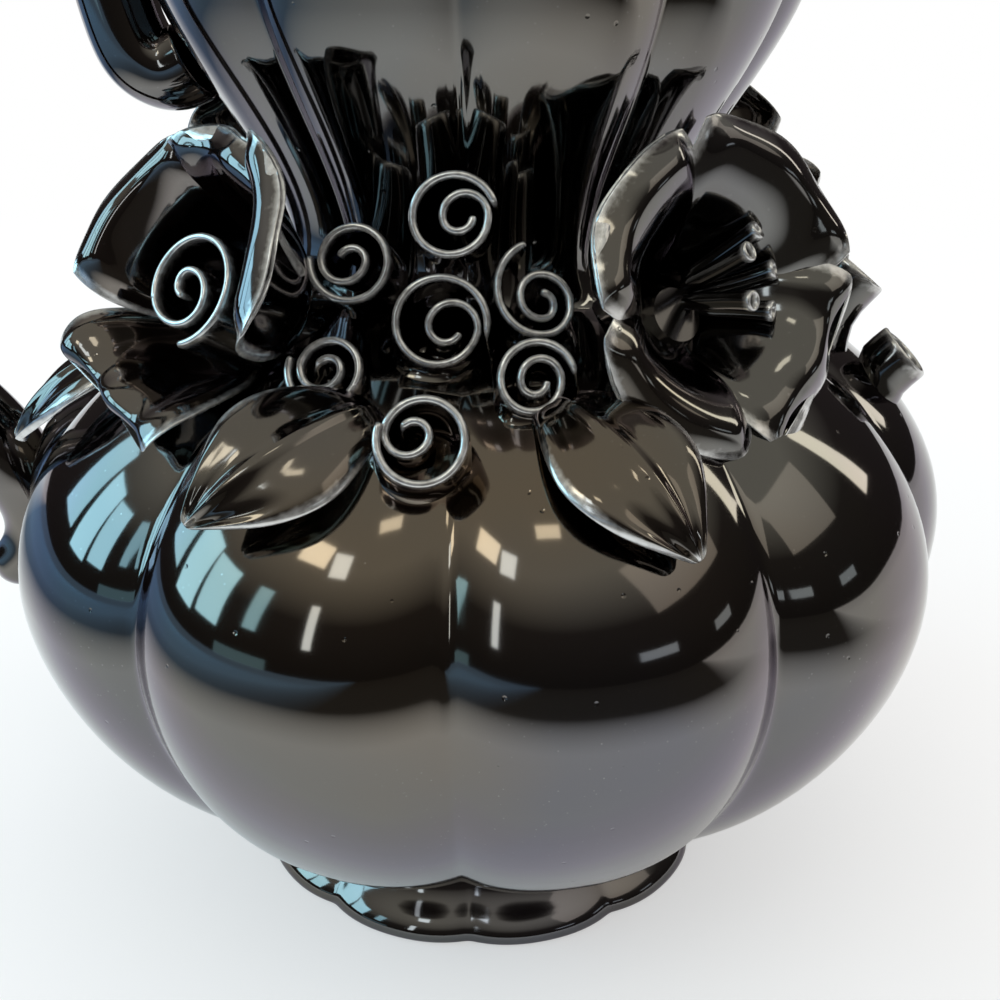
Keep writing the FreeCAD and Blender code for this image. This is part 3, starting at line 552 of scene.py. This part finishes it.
def build_handle():
    last = len(HANDLE_LINE) - 1
    stations = [between(HANDLE_LINE, k / HANDLE_STEPS) for k in range(last * HANDLE_STEPS + 1)]
    for _ in range(HANDLE_EASE):
        threes = zip(stations, stations[1:], stations[2:])
        eased = [[(a + 2 * b + c) / 4 for a, b, c in zip(*three)] for three in threes]
        stations = [stations[0]] + eased + [stations[-1]]
    points = [Vector((-out, 0.0, up)) for out, up, keep in stations]
    side = Vector((0, 1, 0))
    loops = []
    for k, (out, up, keep) in enumerate(stations):
        along = (points[min(k + 1, len(points) - 1)] - points[max(k - 1, 0)]).normalized()
        outward = side.cross(along)
        end = smooth_step((len(points) - 1 - k) / TAIL_STEPS)
        loop = []
        for j in range(HANDLE_SIDES):
            a = 2 * math.pi * j / HANDLE_SIDES
            groove = 1 - THUMB_GROOVE * math.exp(-((math.sin(a / 2 - math.pi / 4)) ** 2) / THUMB_SPREAD)
            reach = keep * (0.25 + 0.75 * math.sqrt(end)) * groove
            place = points[k] + side * (HANDLE_GIRTH / 2 * reach * math.cos(a))
            place += outward * (HANDLE_DEPTH / 2 * reach * math.sin(a))
            place += (place - points[k]) * (HANDLE_WAVER * noise.noise(place / HANDLE_SPAN))
            loop.append(outside_wall(place, HANDLE_SEATED))
        loops.append(loop)
    bm = bmesh.new()
    draw_out(bm, loops)
    return bm


HANDLE_GLAZE = glaze("black lustre on the handle", 0.6, 0.8, 0.5, 0.0, 0.05)
finish_piece("pulled_handle", build_handle(), HANDLE_GLAZE, ["handle"], levels=1)

# The ribbon curls: strips of soft clay, little over a millimetre thick, wound into a flat spiral
# and pressed on the shoulder with their open side out. Their front rims are pale silver: partly
# wear through the lustre, partly a painted highlight.
RIBBON_THICKNESS = 1.3
RIBBON_HALF = RIBBON_THICKNESS / 2
# Across the strip and down from its front rim.
RIBBON_RIM = [(-RIBBON_HALF, -2.2), (-RIBBON_HALF, -0.6), (-0.42, -0.12), (0.0, 0.0),
              (0.42, -0.12), (RIBBON_HALF, -0.6), (RIBBON_HALF, -2.2)]
# How far down the front rim the pale silver runs, as wear and a painted highlight.
WEAR_AND_HIGHLIGHT_RIM, WEAR_AND_HIGHLIGHT_BELOW, WEAR_AND_HIGHLIGHT_PART = -0.5, -0.7, 0.72
RIBBON_WAVER, RIBBON_SEATED = 0.02, 1.6
CURL_DEPTH, CURL_WAVER = 17.0, 0.8
CURL_SIDES = 26
ROUND_ARCS = (1.0, 0.90, 0.54, 0.36)
LOOSE_ARCS = (1.0, 0.66, 0.48, 0.28)


def outward_frame(origin, heading, lift):
    """Local z looks outward at a heading and a lift, local x runs level to the right."""
    a, e = math.radians(heading), math.radians(lift)
    look = Vector((math.cos(e) * math.cos(a), math.cos(e) * math.sin(a), math.sin(e)))
    level = Vector((-math.sin(a), math.cos(a), 0))
    turn = Matrix((level, look.cross(level), look)).transposed().to_4x4()
    return Matrix.Translation(origin) @ turn


def turned(place, angle):
    return place @ Matrix.Rotation(math.radians(angle), 4, "Z")


def shoulder_place(angle, height_share, stand, heading, lift):
    """A frame that stands off the wall; the height is a share of the seam's height."""
    height = SEAM_HEIGHT * height_share
    place = outward_frame(around(angle, wall_radius(height), height), heading, lift)
    return place @ Matrix.Translation((0, 0, stand))


def spiral(radius, arcs, oval):
    """Points and inward normals along half circles that get smaller, from the loose end inwards."""
    points = []
    centre = 0.0
    for k, share in enumerate(arcs):
        bend = radius * share
        for j in range(CURL_SIDES + (k == len(arcs) - 1)):
            a = math.pi * (k + j / CURL_SIDES)
            points.append((centre + bend * math.cos(a), bend * math.sin(a) * oval))
        if k + 1 < len(arcs):
            centre += (bend - radius * arcs[k + 1]) * math.cos(math.pi * (k + 1))
    lines = []
    for k, (x, y) in enumerate(points):
        bx, by = points[max(k - 1, 0)]
        ax, ay = points[min(k + 1, len(points) - 1)]
        length = math.hypot(ax - bx, ay - by)
        lines.append((Vector((x, y, 0)), Vector((-(ay - by) / length, (ax - bx) / length, 0))))
    return lines


def build_ribbon(place, radius, arcs, oval, depth, waver, slope):
    """A strip with a rounded front rim, drawn along the spiral."""
    back = [(-RIBBON_HALF, -depth), (-RIBBON_HALF, -depth * 0.5)]
    section = back + RIBBON_RIM + [(-across, low) for across, low in reversed(back)]
    lines = spiral(radius, arcs, oval)
    last = len(lines) - 1
    loops, wear_and_highlight = [], []
    for k, (point, inward) in enumerate(lines):
        share = k / last
        seed = Vector((radius, share * 5.0, place.translation.x / 9.0))
        front = slope * share + waver * noise.noise(seed)
        thin = math.sqrt(min(1.0, (k + 0.2) / 2.5)) * math.sqrt(min(1.0, (last - k + 0.2) / 2.5))
        loop, rim_wear_and_highlight = [], []
        for side, low in section:
            lean = 1 + RIBBON_WAVER * noise.noise(Vector((share * 4.0, low / 9.0, radius)))
            local = point * lean + inward * (side * thin) + Vector((0, 0, low + front))
            loop.append(outside_wall(place @ local, RIBBON_SEATED))
            # Front rims: pale silver for wear and a painted highlight.
            rim_wear_and_highlight.append(1.0 if low > WEAR_AND_HIGHLIGHT_RIM else (WEAR_AND_HIGHLIGHT_PART if low > WEAR_AND_HIGHLIGHT_BELOW else 0.0))
        loops.append(loop)
        wear_and_highlight.append(rim_wear_and_highlight)
    bm = bmesh.new()
    draw_out(bm, loops, wear_and_highlight)
    return bm


CURL_GLAZE = glaze("black lustre on the curls", 0.4, 0.6, 0.2, 1.1, 0.07)
WIDE_CURL, MIDDLE_CURL, SMALL_CURL = 7.0, 6.2, 5.5
# Rows: name, angle from the middle, height share, stand share, heading, lift, direction of the
# loose end, radius, arcs, oval, slope of the face.
CLUSTER_CURLS = [
    ("top", -1.5, 1.112, 0.82, 2.0, 20, 10, MIDDLE_CURL, ROUND_ARCS, 0.97, -0.8),
    ("centre", -4.0, 0.990, 0.62, 2.0, 22, -18, WIDE_CURL, ROUND_ARCS, 1.0, -0.6),
    ("bottom", -3.5, 0.904, 0.44, 1.0, 30, 150, MIDDLE_CURL, (1.0, 0.94, 0.52, 0.34), 1.03, -0.9),
    ("upper_right", 16.2, 1.018, 0.84, 8.0, 22, 100, WIDE_CURL, LOOSE_ARCS, 0.92, -1.4),
    ("lower_right", 12.0, 0.949, 0.38, 8.0, 30, 5, SMALL_CURL, (1.0, 0.82, 0.55, 0.36), 1.02, -0.9),
    ("upper_left", -25.2, 1.045, 0.85, -8.0, 22, 170, MIDDLE_CURL, (1.0, 0.86, 0.56, 0.34), 1.0, -0.9),
    ("lower_left", -20.5, 0.951, 0.38, -8.0, 30, 155, SMALL_CURL, (1.0, 0.84, 0.58, 0.36), 1.05, -0.7),
]
SPOUT_CURLS = [
    ("upper", -5.0, 0.927, 0.80, -5.0, 50, 0, MIDDLE_CURL, ROUND_ARCS, 1.0, -0.8),
    ("lower", -6.0, 0.851, 0.40, -6.0, 45, 90, SMALL_CURL, ROUND_ARCS, 1.0, -0.8),
    ("side", 11.0, 0.940, 0.60, 9.0, 45, 180, SMALL_CURL, ROUND_ARCS, 1.0, -0.8),
]
HANDLE_CURLS = [
    ("upper", 0.0, 0.945, 0.60, 0.0, 40, 0, SMALL_CURL, ROUND_ARCS, 1.0, -0.8),
]
FRONT, REAR, LIP_SIDE, HANDLE_SIDE = -90, 90, 0, 180
for where, middle, rows in (("front", FRONT, CLUSTER_CURLS), ("rear", REAR, CLUSTER_CURLS),
                            ("spout", LIP_SIDE, SPOUT_CURLS), ("handle", HANDLE_SIDE, HANDLE_CURLS)):
    for name, angle, height, stand, heading, lift, loose_end, radius, arcs, oval, slope in rows:
        place = shoulder_place(middle + angle, height, stand * CURL_DEPTH, middle + heading, lift)
        clay = build_ribbon(turned(place, loose_end), radius, arcs, oval, CURL_DEPTH, CURL_WAVER, slope)
        finish_piece("%s_%s_ribbon" % (where, name), clay, CURL_GLAZE,
                     ["%s_curl_%s" % (where, name)], levels=1)

# The flowers: petals cut from rolled clay, thinned at the lip with a wet finger, rolled back
# and pressed round a cone of clay. An open rose has hollow stamens, a bud has a wound heart.
PETAL_THICKNESS = 1.8
PETAL_ACROSS, PETAL_ALONG = 22, 26
PETAL_GLAZE = glaze("black lustre on the petals", 0.5, 0.5, 0.5, 1.15, 0.055)
PETAL_ROLL = 3.1
PETAL_SEATED = 1.2
PETAL_WAVER = 0.4
RIB_BREADTH = 0.09
ROLL_START, LIP_START = 0.62, 0.80
# Where petal and leaf edges and lips turn pale silver, as wear and a painted highlight.
SIDE_WEAR_AND_HIGHLIGHT, SIDE_WEAR_AND_HIGHLIGHT_SPAN, LIP_WEAR_AND_HIGHLIGHT, LIP_WEAR_AND_HIGHLIGHT_SPAN = 0.875, 0.05, 0.92, 0.04


def build_sheet(place, rows, lip_round, ruffles, thickness, roll=0.0, rib=0.0, seed=0.0):
    """A thin sheet with rounded edges. Rows: out, up, half width, bend across in degrees."""
    last = len(rows) - 1
    loops, wear_and_highlight = [], []

    def surface(u, t):
        shorten = 1 - lip_round * abs(u) ** 2.4 * t
        out, up, half, bend = between(rows, last * t * shorten)
        ahead = between(rows, min(last * t * shorten + 0.05, last))
        behind = between(rows, max(last * t * shorten - 0.05, 0))
        along = Vector((ahead[0] - behind[0], 0, ahead[1] - behind[1])).normalized()
        inward = Vector((-along.z, 0, along.x))
        turn = math.radians(bend) or 0.001
        across = half / turn * math.sin(turn * u)
        sag = half / turn * (1 - math.cos(turn * u))
        ripple = sum(size * math.sin(count * math.pi * u + phase) for size, count, phase in ruffles)
        ripple *= smooth_step(t) ** 2.5
        ridge = rib * math.exp(-((u / RIB_BREADTH) ** 2)) * smooth_step(4 * t) * smooth_step(3.2 * (1 - t))
        wobble = PETAL_WAVER * noise.noise(Vector((u * 1.2, t * 1.6, seed)))
        side_edge = smooth_step((abs(u) - ROLL_START) / 0.38) * smooth_step(t * 1.6)
        edge = max(side_edge, smooth_step((t - LIP_START) / 0.20))
        middle = Vector((out, across, up)) + inward * (sag + ripple + ridge + wobble - roll * edge)
        return middle, inward

    for k in range(PETAL_ALONG + 1):
        t = k / PETAL_ALONG
        t = 1 - (1 - t) ** 1.25
        edge_t = math.sqrt(max(1 - t**14, 0.0))
        upper, lower, edge_wear_and_highlight = [], [], []
        for j in range(PETAL_ACROSS + 1):
            u = math.sin((j / PETAL_ACROSS * 2 - 1) * math.pi / 2)
            middle, inward = surface(u, t)
            half = thickness / 2 * (1.25 - 0.55 * t) * math.sqrt(max(1 - u**10, 0.0)) * edge_t
            upper.append(place @ (middle + inward * half))
            lower.append(place @ (middle - inward * half))
            # Edges and lip: pale silver for wear and a painted highlight.
            side_wear_and_highlight = smooth_step((abs(u) - SIDE_WEAR_AND_HIGHLIGHT) / SIDE_WEAR_AND_HIGHLIGHT_SPAN) * smooth_step(t * 2)
            edge_wear_and_highlight.append(max(side_wear_and_highlight, smooth_step((t - LIP_WEAR_AND_HIGHLIGHT) / LIP_WEAR_AND_HIGHLIGHT_SPAN)))
        loops.append([outside_wall(point, PETAL_SEATED) for point in upper + lower[-2:0:-1]])
        wear_and_highlight.append(edge_wear_and_highlight + edge_wear_and_highlight[-2:0:-1])
    bm = bmesh.new()
    draw_out(bm, loops, wear_and_highlight)
    return bm


# Rows of a petal: out from the flower's axis, up along it, half width, bend across.
ROSE_CUP = [
    (2.5, -6.0, 3.0, 20), (6.0, -1.0, 8.0, 46), (9.6, 4.0, 12.2, 52), (12.8, 9.0, 15.0, 46),
    (16.4, 13.2, 16.6, 34), (20.8, 15.8, 16.6, 20), (25.6, 16.4, 14.6, 10),
]
ROSE_UNDER = [
    (3.0, -6.0, 3.5, 20), (9.0, -1.0, 8.0, 30), (14.5, 3.5, 12.0, 34), (18.5, 8.0, 14.0, 30),
    (21.8, 11.5, 13.5, 22), (25.5, 12.5, 11.5, 12),
]
BUD_CUP = [
    (3.0, -1.5, 4.5, 25), (8.5, 1.5, 9.5, 46), (12.0, 6.5, 13.2, 54), (13.8, 12.5, 15.4, 52),
    (15.4, 18.0, 15.8, 42), (17.8, 22.0, 14.6, 28), (20.6, 24.0, 12.5, 14),
]
BUD_LIP = [
    (3.0, -2.0, 4.0, 25), (9.0, 1.0, 10.0, 38), (13.5, 6.0, 14.0, 48), (16.5, 11.0, 16.5, 48),
    (19.0, 15.0, 17.0, 38), (22.0, 17.0, 15.5, 24), (24.4, 16.2, 13.5, 12),
]
# Rows: name, turn round the flower, rows, size, lip rounding, ruffles (size, count, phase).
ROSE_PETALS = [
    ("lower_left", 228, ROSE_CUP, 1.02, 0.20, [(0.7, 1.4, 0.4)]),
    ("lower_right", 318, ROSE_CUP, 0.98, 0.16, [(1.1, 1.9, 2.0)]),
    ("upper_left", 138, ROSE_CUP, 0.98, 0.20, [(0.8, 1.6, 3.4)]),
    ("upper_right", 48, ROSE_CUP, 1.06, 0.24, [(0.9, 1.5, 1.0)]),
    ("under", 282, ROSE_UNDER, 1.00, 0.20, [(0.9, 2.4, 0.2)]),
]
BUD_PETALS = [
    ("left", 152, BUD_CUP, 1.00, 0.18, [(0.5, 1.4, 0.8)]),
    ("right", 22, BUD_CUP, 1.12, 0.20, [(0.5, 1.5, 2.8)]),
    ("lip", 248, BUD_LIP, 1.04, 0.12, [(1.3, 2.1, 0.9)]),
    ("back", 74, BUD_CUP, 1.02, 0.22, [(0.9, 1.9, 1.9)]),
]
STAMEN_RADIUS, STAMEN_SIDES = 1.6, 16
# The second value is the share past which a stamen's tip is pale silver, as wear and a painted highlight.
STAMEN_ROOT, STAMEN_WEAR_AND_HIGHLIGHT = 0.28, 0.96
# Rows: share of the way to the tip, radius kept; first the outside, then the bore.
STAMEN_PROFILE = [
    (0.0, 0.7), (0.1, 0.85), (0.35, 0.9), (0.7, 0.92), (0.9, 1.0), (0.965, 1.1), (0.99, 1.06), (1.0, 0.9),
    (0.995, 0.68), (0.97, 0.55), (0.85, 0.5), (0.62, 0.42),
]
# Rows: where each stamen ends in the flower's frame: right, up, out.
STAMEN_ENDS = [
    (10.0, 8.5, 13.0), (12.2, 2.0, 13.0), (5.0, -2.3, 15.0), (10.6, -4.5, 13.0), (6.2, 5.4, 14.5),
]
# Rows: kind, angle from the middle, height share, stand, heading, lift, petals.
FLOWERS = [
    ("rose", 44.5, 0.995, 7.5, 36.0, 19, ROSE_PETALS),
    ("bud", -41.0, 0.98, 4.0, -36.0, 32, BUD_PETALS),
]
HEART_PLACE, HEART_TURN, HEART_RADIUS, HEART_DEPTH = (-0.5, -2.0, 17.0), -85, 8.6, 15.0
HEART_ARCS, HEART_WAVER, HEART_SLOPE = (1.0, 0.82, 0.5, 0.24), 0.5, 0.6
# The rear flowers are a little larger and turned, so that their tips show beside the neck.
REAR_SIZE = 1.16
REAR_TURNS = {"rose": 20, "bud": -36}


def build_stamens(place):
    """Slender open tubes that lean out of the flower's throat."""
    bm = bmesh.new()
    for number, end in enumerate(STAMEN_ENDS):
        tip = Vector(end)
        root = Vector((tip.x * STAMEN_ROOT, tip.y * STAMEN_ROOT, 0.6))
        sway = Vector((0.5, -0.4, 0.0)) * math.sin(number * 2.1)
        along = (tip - root).normalized()
        side = along.cross(Vector((0, 0, 1))).normalized()
        other = along.cross(side)
        loops, wear_and_highlight = [], []
        for share, keep in STAMEN_PROFILE:
            middle = root.lerp(tip, share) + sway * math.sin(share * math.pi)
            loop = []
            for j in range(STAMEN_SIDES):
                a = 2 * math.pi * j / STAMEN_SIDES
                away = (side * math.cos(a) + other * math.sin(a)) * STAMEN_RADIUS * keep
                loop.append(place @ (middle + away))
            loops.append(loop)
            # Tips: pale silver for wear and a painted highlight.
            wear_and_highlight.append([1.0 if share > STAMEN_WEAR_AND_HIGHLIGHT else 0.0] * STAMEN_SIDES)
        draw_out(bm, loops, wear_and_highlight)
    return bm


def scaled(rows, size):
    return [(out * size, up * size, half * size, bend) for out, up, half, bend in rows]


for where, middle in (("front", FRONT), ("rear", REAR)):
    for kind, angle, height, stand, heading, lift, petals in FLOWERS:
        place = shoulder_place(middle + angle, height, stand, middle + heading, lift)
        if where == "rear":
            place = turned(place, REAR_TURNS[kind]) @ Matrix.Scale(REAR_SIZE, 4)
        for number, (name, turn, rows, size, lip_round, ruffles) in enumerate(petals):
            clay = build_sheet(turned(place, turn), scaled(rows, size), lip_round, ruffles,
                               PETAL_THICKNESS, roll=PETAL_ROLL, seed=number * 3.7 + angle)
            finish_piece("%s_%s_%s_petal" % (where, kind, name), clay, PETAL_GLAZE,
                         ["%s_%s_petal_%s" % (where, kind, name)], levels=1)
        if kind == "rose":
            finish_piece("%s_rose_stamen_tubes" % where, build_stamens(place), CURL_GLAZE,
                         ["%s_rose_stamens" % where], levels=1)
        else:
            lifted = turned(place @ Matrix.Translation(HEART_PLACE), HEART_TURN)
            clay = build_ribbon(lifted, HEART_RADIUS, HEART_ARCS, 1.0, HEART_DEPTH,
                                HEART_WAVER, HEART_SLOPE)
            finish_piece("%s_bud_wound_heart" % where, clay, CURL_GLAZE,
                         ["%s_bud_heart" % where], levels=1)

# The leaves: pointed ovals of rolled clay with a raised midrib and a wavy edge, pressed on
# under the curls and beside the handle, with their tips standing off the belly.
LEAF_THICKNESS, LEAF_ROLL, LEAF_RIB = 1.5, 0.7, 1.0
LEAF_STAND, LEAF_LIFT = 6.0, 50
LEAF_ROWS = [
    (-4.0, -9.0, 2.5, -18), (0.0, -3.0, 5.5, -18), (5.0, 0.2, 8.2, -14), (10.5, 2.0, 9.8, -12),
    (16.0, 2.8, 9.4, -10), (21.0, 2.4, 7.4, -12), (25.5, 1.6, 4.2, -16), (29.5, 0.6, 0.8, -18),
]
# Rows: name, angle, height share, heading, direction, roll, lift of the tip, length, breadth.
CLUSTER_LEAVES = [
    ("left", -12.0, 0.918, -15.0, 232, -12, 3, 1.00, 1.05),
    ("right", 15.0, 0.926, 20.0, 293, 0, -3, 1.03, 1.12),
]
HANDLE_LEAVES = [
    ("front", 33.0, 0.931, 28.0, 258, 0, 0, 1.00, 0.80),
    ("rear", -33.0, 0.931, -28.0, 282, 0, 0, 1.00, 0.80),
]
for where, middle, rows in (("front", FRONT, CLUSTER_LEAVES), ("rear", REAR, CLUSTER_LEAVES),
                            ("handle", HANDLE_SIDE, HANDLE_LEAVES)):
    for name, angle, height, heading, turn, roll, tip, length, breadth in rows:
        seat = shoulder_place(middle + angle, height, LEAF_STAND, middle + heading, LEAF_LIFT)
        pose = Matrix.Rotation(math.radians(-tip), 4, "Y") @ Matrix.Rotation(math.radians(roll), 4, "X")
        shape = [(out * length, up, half * breadth, bend) for out, up, half, bend in LEAF_ROWS]
        ruffles = [(0.7, 2.4, angle), (0.4, 4.6, 1.0)]
        clay = build_sheet(turned(seat, turn) @ pose, shape, 0.0, ruffles, LEAF_THICKNESS,
                           roll=LEAF_ROLL, rib=LEAF_RIB, seed=angle)
        finish_piece("%s_%s_leaf_blade" % (where, name), clay, PETAL_GLAZE,
                     ["%s_leaf_%s" % (where, name)], levels=1)

# The clay cones under the flowers are the solid parts themselves; they only get their glaze.
CONE_GLAZE = glaze("black lustre on the cones", 0.8, 0.8, 0.2, 0.0, 0.08)
for name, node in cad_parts.items():
    if name.endswith("_pad"):
        for slot in node.material_slots:
            slot.material = CONE_GLAZE

# The studio: soft panes to the left, skylights and a lamp in front, a paler wall and a strip to
# the right and low screens, all as even panels round the jug; then a pale floor and the room.
PANEL_DISTANCE, PANEL_CENTRE = 1.5, Vector((0, 0, 0.1))


def panel(name, azimuth, elevation, width, height, power, colour):
    a, e = math.radians(azimuth), math.radians(elevation)
    away = Vector((math.cos(e) * math.cos(a), math.cos(e) * math.sin(a), math.sin(e)))
    light = bpy.data.lights.new(name, "AREA")
    light.shape = "RECTANGLE"
    light.size, light.size_y = width, height
    light.energy = power
    light.color = colour
    lamp = bpy.data.objects.new(name, light)
    lamp.location = away * PANEL_DISTANCE + PANEL_CENTRE
    lamp.rotation_mode = "QUATERNION"
    lamp.rotation_quaternion = away.to_track_quat("Z", "Y")
    bpy.context.scene.collection.objects.link(lamp)


SKY_BLUE, DAY_WHITE = (0.42, 0.80, 1.0), (0.80, 0.92, 1.0)
LAMP_CREAM, WALL_GREY = (1.0, 0.96, 0.80), (1.0, 0.92, 0.80)
# Rows: name, azimuth, elevation, width, height, brightness, colour.
PANELS = [
    ("left_pane_front", -157, 20, 0.34, 0.60, 4.0, SKY_BLUE),
    ("left_pane_middle", -173, 20, 0.36, 0.70, 4.5, SKY_BLUE),
    ("left_pane_rear", 169, 24, 0.36, 0.76, 3.5, SKY_BLUE),
    ("skylight_near", -128, 49, 0.30, 0.22, 3.6, LAMP_CREAM),
    ("skylight_far", -111, 47, 0.20, 0.24, 3.6, DAY_WHITE),
    ("tall_pane", -116, 21, 0.10, 0.50, 3.4, DAY_WHITE),
    ("side_pane", -138, 22, 0.12, 0.46, 2.2, SKY_BLUE),
    ("right_wall", -22, 36, 1.05, 0.55, 0.55, WALL_GREY),
    ("right_strip", 24, 28, 0.16, 0.70, 3.2, LAMP_CREAM),
    ("low_screen_right", -46, 9, 0.34, 0.10, 0.9, DAY_WHITE),
    ("low_screen_far_right", -14, 8, 0.30, 0.10, 0.8, DAY_WHITE),
    ("low_screen_left", -140, 1, 0.50, 0.12, 0.5, SKY_BLUE),
    ("front_lamp", -80, 62, 0.26, 0.12, 2.6, LAMP_CREAM),
]
for name, azimuth, elevation, width, height, brightness, colour in PANELS:
    panel(name, azimuth, elevation, width, height, brightness * math.pi * width * height, colour)

# The floor, in metres. In mirror images it is dark and bluish in front and to the left, from
# FLOOR_DARK outwards; seen straight it fades to plain white over FLOOR_FADE.
FLOOR_RADIUS, FLOOR_SIDES = 8.0, 64
FLOOR_PALE, FLOOR_ROUGHNESS = (0.86, 0.86, 0.86, 1), 0.9
MIRRORED_DARK, MIRRORED_BLUE = (0.05, 0.045, 0.04, 1), (0.16, 0.25, 0.37, 1)
BLUE_SIDE = (-0.12, -0.50)
FLOOR_DARK = (0.19, 0.36)
PALE_WAY, PALE_SPAN, PALE_LEFT = (0.55, 1.0, 0.0), (0.02, 0.18), 0.12
FLOOR_FADE, FADE_START = (0.10, 0.75), 0.42
floor_clay = bmesh.new()
bmesh.ops.create_circle(floor_clay, cap_ends=True, segments=FLOOR_SIDES, radius=FLOOR_RADIUS)
floor_mesh = bpy.data.meshes.new("floor")
floor_clay.to_mesh(floor_mesh)
floor_clay.free()
floor = bpy.data.objects.new("floor", floor_mesh)
bpy.context.scene.collection.objects.link(floor)


def floor_paint():
    material = bpy.data.materials.new("pale floor")
    material.use_nodes = True
    nodes, links = material.node_tree.nodes, material.node_tree.links

    def ranged(source, span, ends=(0.0, 1.0)):
        node = nodes.new("ShaderNodeMapRange")
        node.inputs["From Min"].default_value, node.inputs["From Max"].default_value = span
        node.inputs["To Min"].default_value, node.inputs["To Max"].default_value = ends
        links.new(source, node.inputs["Value"])
        return node.outputs["Result"]

    def product(first, second):
        node = nodes.new("ShaderNodeMath")
        node.operation = "MULTIPLY"
        links.new(first, node.inputs[0])
        links.new(second, node.inputs[1])
        return node.outputs["Value"]

    def covered(share, under, over):
        node = nodes.new("ShaderNodeMixShader")
        links.new(share, node.inputs["Fac"])
        links.new(under, node.inputs[1])
        links.new(over, node.inputs[2])
        return node.outputs["Shader"]

    coords = nodes.new("ShaderNodeTexCoord")
    path = nodes.new("ShaderNodeLightPath")
    away = nodes.new("ShaderNodeVectorMath")
    away.operation = "LENGTH"
    behind = nodes.new("ShaderNodeVectorMath")
    behind.operation = "DOT_PRODUCT"
    behind.inputs[1].default_value = PALE_WAY
    across = nodes.new("ShaderNodeSeparateXYZ")
    for node in (away, behind, across):
        links.new(coords.outputs["Object"], node.inputs[0])
    tint = nodes.new("ShaderNodeValToRGB")
    tint.color_ramp.elements[0].color = MIRRORED_DARK
    tint.color_ramp.elements[1].color = MIRRORED_BLUE
    links.new(ranged(across.outputs["X"], BLUE_SIDE), tint.inputs["Fac"])
    dark = nodes.new("ShaderNodeBsdfDiffuse")
    links.new(tint.outputs["Color"], dark.inputs["Color"])
    pale = nodes["Principled BSDF"]
    pale.inputs["Base Color"].default_value = FLOOR_PALE
    pale.inputs["Roughness"].default_value = FLOOR_ROUGHNESS
    white = nodes.new("ShaderNodeEmission")
    far = ranged(away.outputs["Value"], FLOOR_DARK)
    front = ranged(behind.outputs["Value"], PALE_SPAN, (1.0, PALE_LEFT))
    mirrored = product(product(far, front), path.outputs["Is Glossy Ray"])
    fade = ranged(away.outputs["Value"], FLOOR_FADE, (FADE_START, 1.0))
    straight = product(fade, path.outputs["Is Camera Ray"])
    laid = covered(mirrored, pale.outputs["BSDF"], dark.outputs["BSDF"])
    shown = covered(straight, laid, white.outputs["Emission"])
    links.new(shown, nodes["Material Output"].inputs["Surface"])
    return material


floor_mesh.materials.append(floor_paint())

# The room: plain white to the camera and for soft light, and in mirror images a ramp from a
# dark wall up to a pale ceiling.
ROOM_LOW, ROOM_MIDDLE, ROOM_HIGH = (0.03, 0.026, 0.024, 1), (0.055, 0.048, 0.044, 1), (0.48, 0.47, 0.415, 1)
ROOM_MIDDLE_AT, ROOM_HIGH_AT = 0.42, 0.74
ROOM_WHITE, SOFT_LIGHT = (1, 1, 1, 1), 1.15
world = bpy.data.worlds.new("studio")
bpy.context.scene.world = world
world.use_nodes = True
nodes, links = world.node_tree.nodes, world.node_tree.links
seen = nodes["Background"]
seen.inputs["Color"].default_value = ROOM_WHITE
seen.inputs["Strength"].default_value = 1.0
room = nodes.new("ShaderNodeBackground")
room.inputs["Strength"].default_value = 1.0
fill = nodes.new("ShaderNodeBackground")
fill.inputs["Color"].default_value = ROOM_WHITE
fill.inputs["Strength"].default_value = SOFT_LIGHT
coords = nodes.new("ShaderNodeTexCoord")
parts = nodes.new("ShaderNodeSeparateXYZ")
upward = nodes.new("ShaderNodeValToRGB")
low, high = upward.color_ramp.elements
low.position, low.color = 0.0, ROOM_LOW
high.position, high.color = ROOM_HIGH_AT, ROOM_HIGH
upward.color_ramp.elements.new(ROOM_MIDDLE_AT).color = ROOM_MIDDLE
path = nodes.new("ShaderNodeLightPath")
soft = nodes.new("ShaderNodeMixShader")
choice = nodes.new("ShaderNodeMixShader")
links.new(coords.outputs["Generated"], parts.inputs["Vector"])
links.new(parts.outputs["Z"], upward.inputs["Fac"])
links.new(upward.outputs["Color"], room.inputs["Color"])
links.new(path.outputs["Is Diffuse Ray"], soft.inputs["Fac"])
links.new(room.outputs["Background"], soft.inputs[1])
links.new(fill.outputs["Background"], soft.inputs[2])
links.new(path.outputs["Is Camera Ray"], choice.inputs["Fac"])
links.new(soft.outputs["Shader"], choice.inputs[1])
links.new(seen.outputs["Background"], choice.inputs[2])
links.new(choice.outputs["Shader"], nodes["World Output"].inputs["Surface"])

# The camera stands close in front, a little right of the middle and above the mouth's height,
# and looks down at the belly, so that the mouth and the handle's loop are out of the picture.
CAMERA_PLACE = (0.0147, -0.2334, 0.1772)
CAMERA_TILT, CAMERA_TURN = -23.98, 2.654
FILM_WIDTH, FOCAL_LENGTH, NEAREST = 36.0, 45.0, 0.01
lens = bpy.data.cameras.new("camera")
lens.sensor_width = FILM_WIDTH
lens.lens = FOCAL_LENGTH
lens.clip_start = NEAREST
camera = bpy.data.objects.new("camera", lens)
camera.location = CAMERA_PLACE
camera.rotation_euler = (math.radians(90 + CAMERA_TILT), 0.0, math.radians(CAMERA_TURN))
bpy.context.scene.collection.objects.link(camera)
bpy.context.scene.camera = camera
bpy.context.scene.view_settings.view_transform = "Standard"
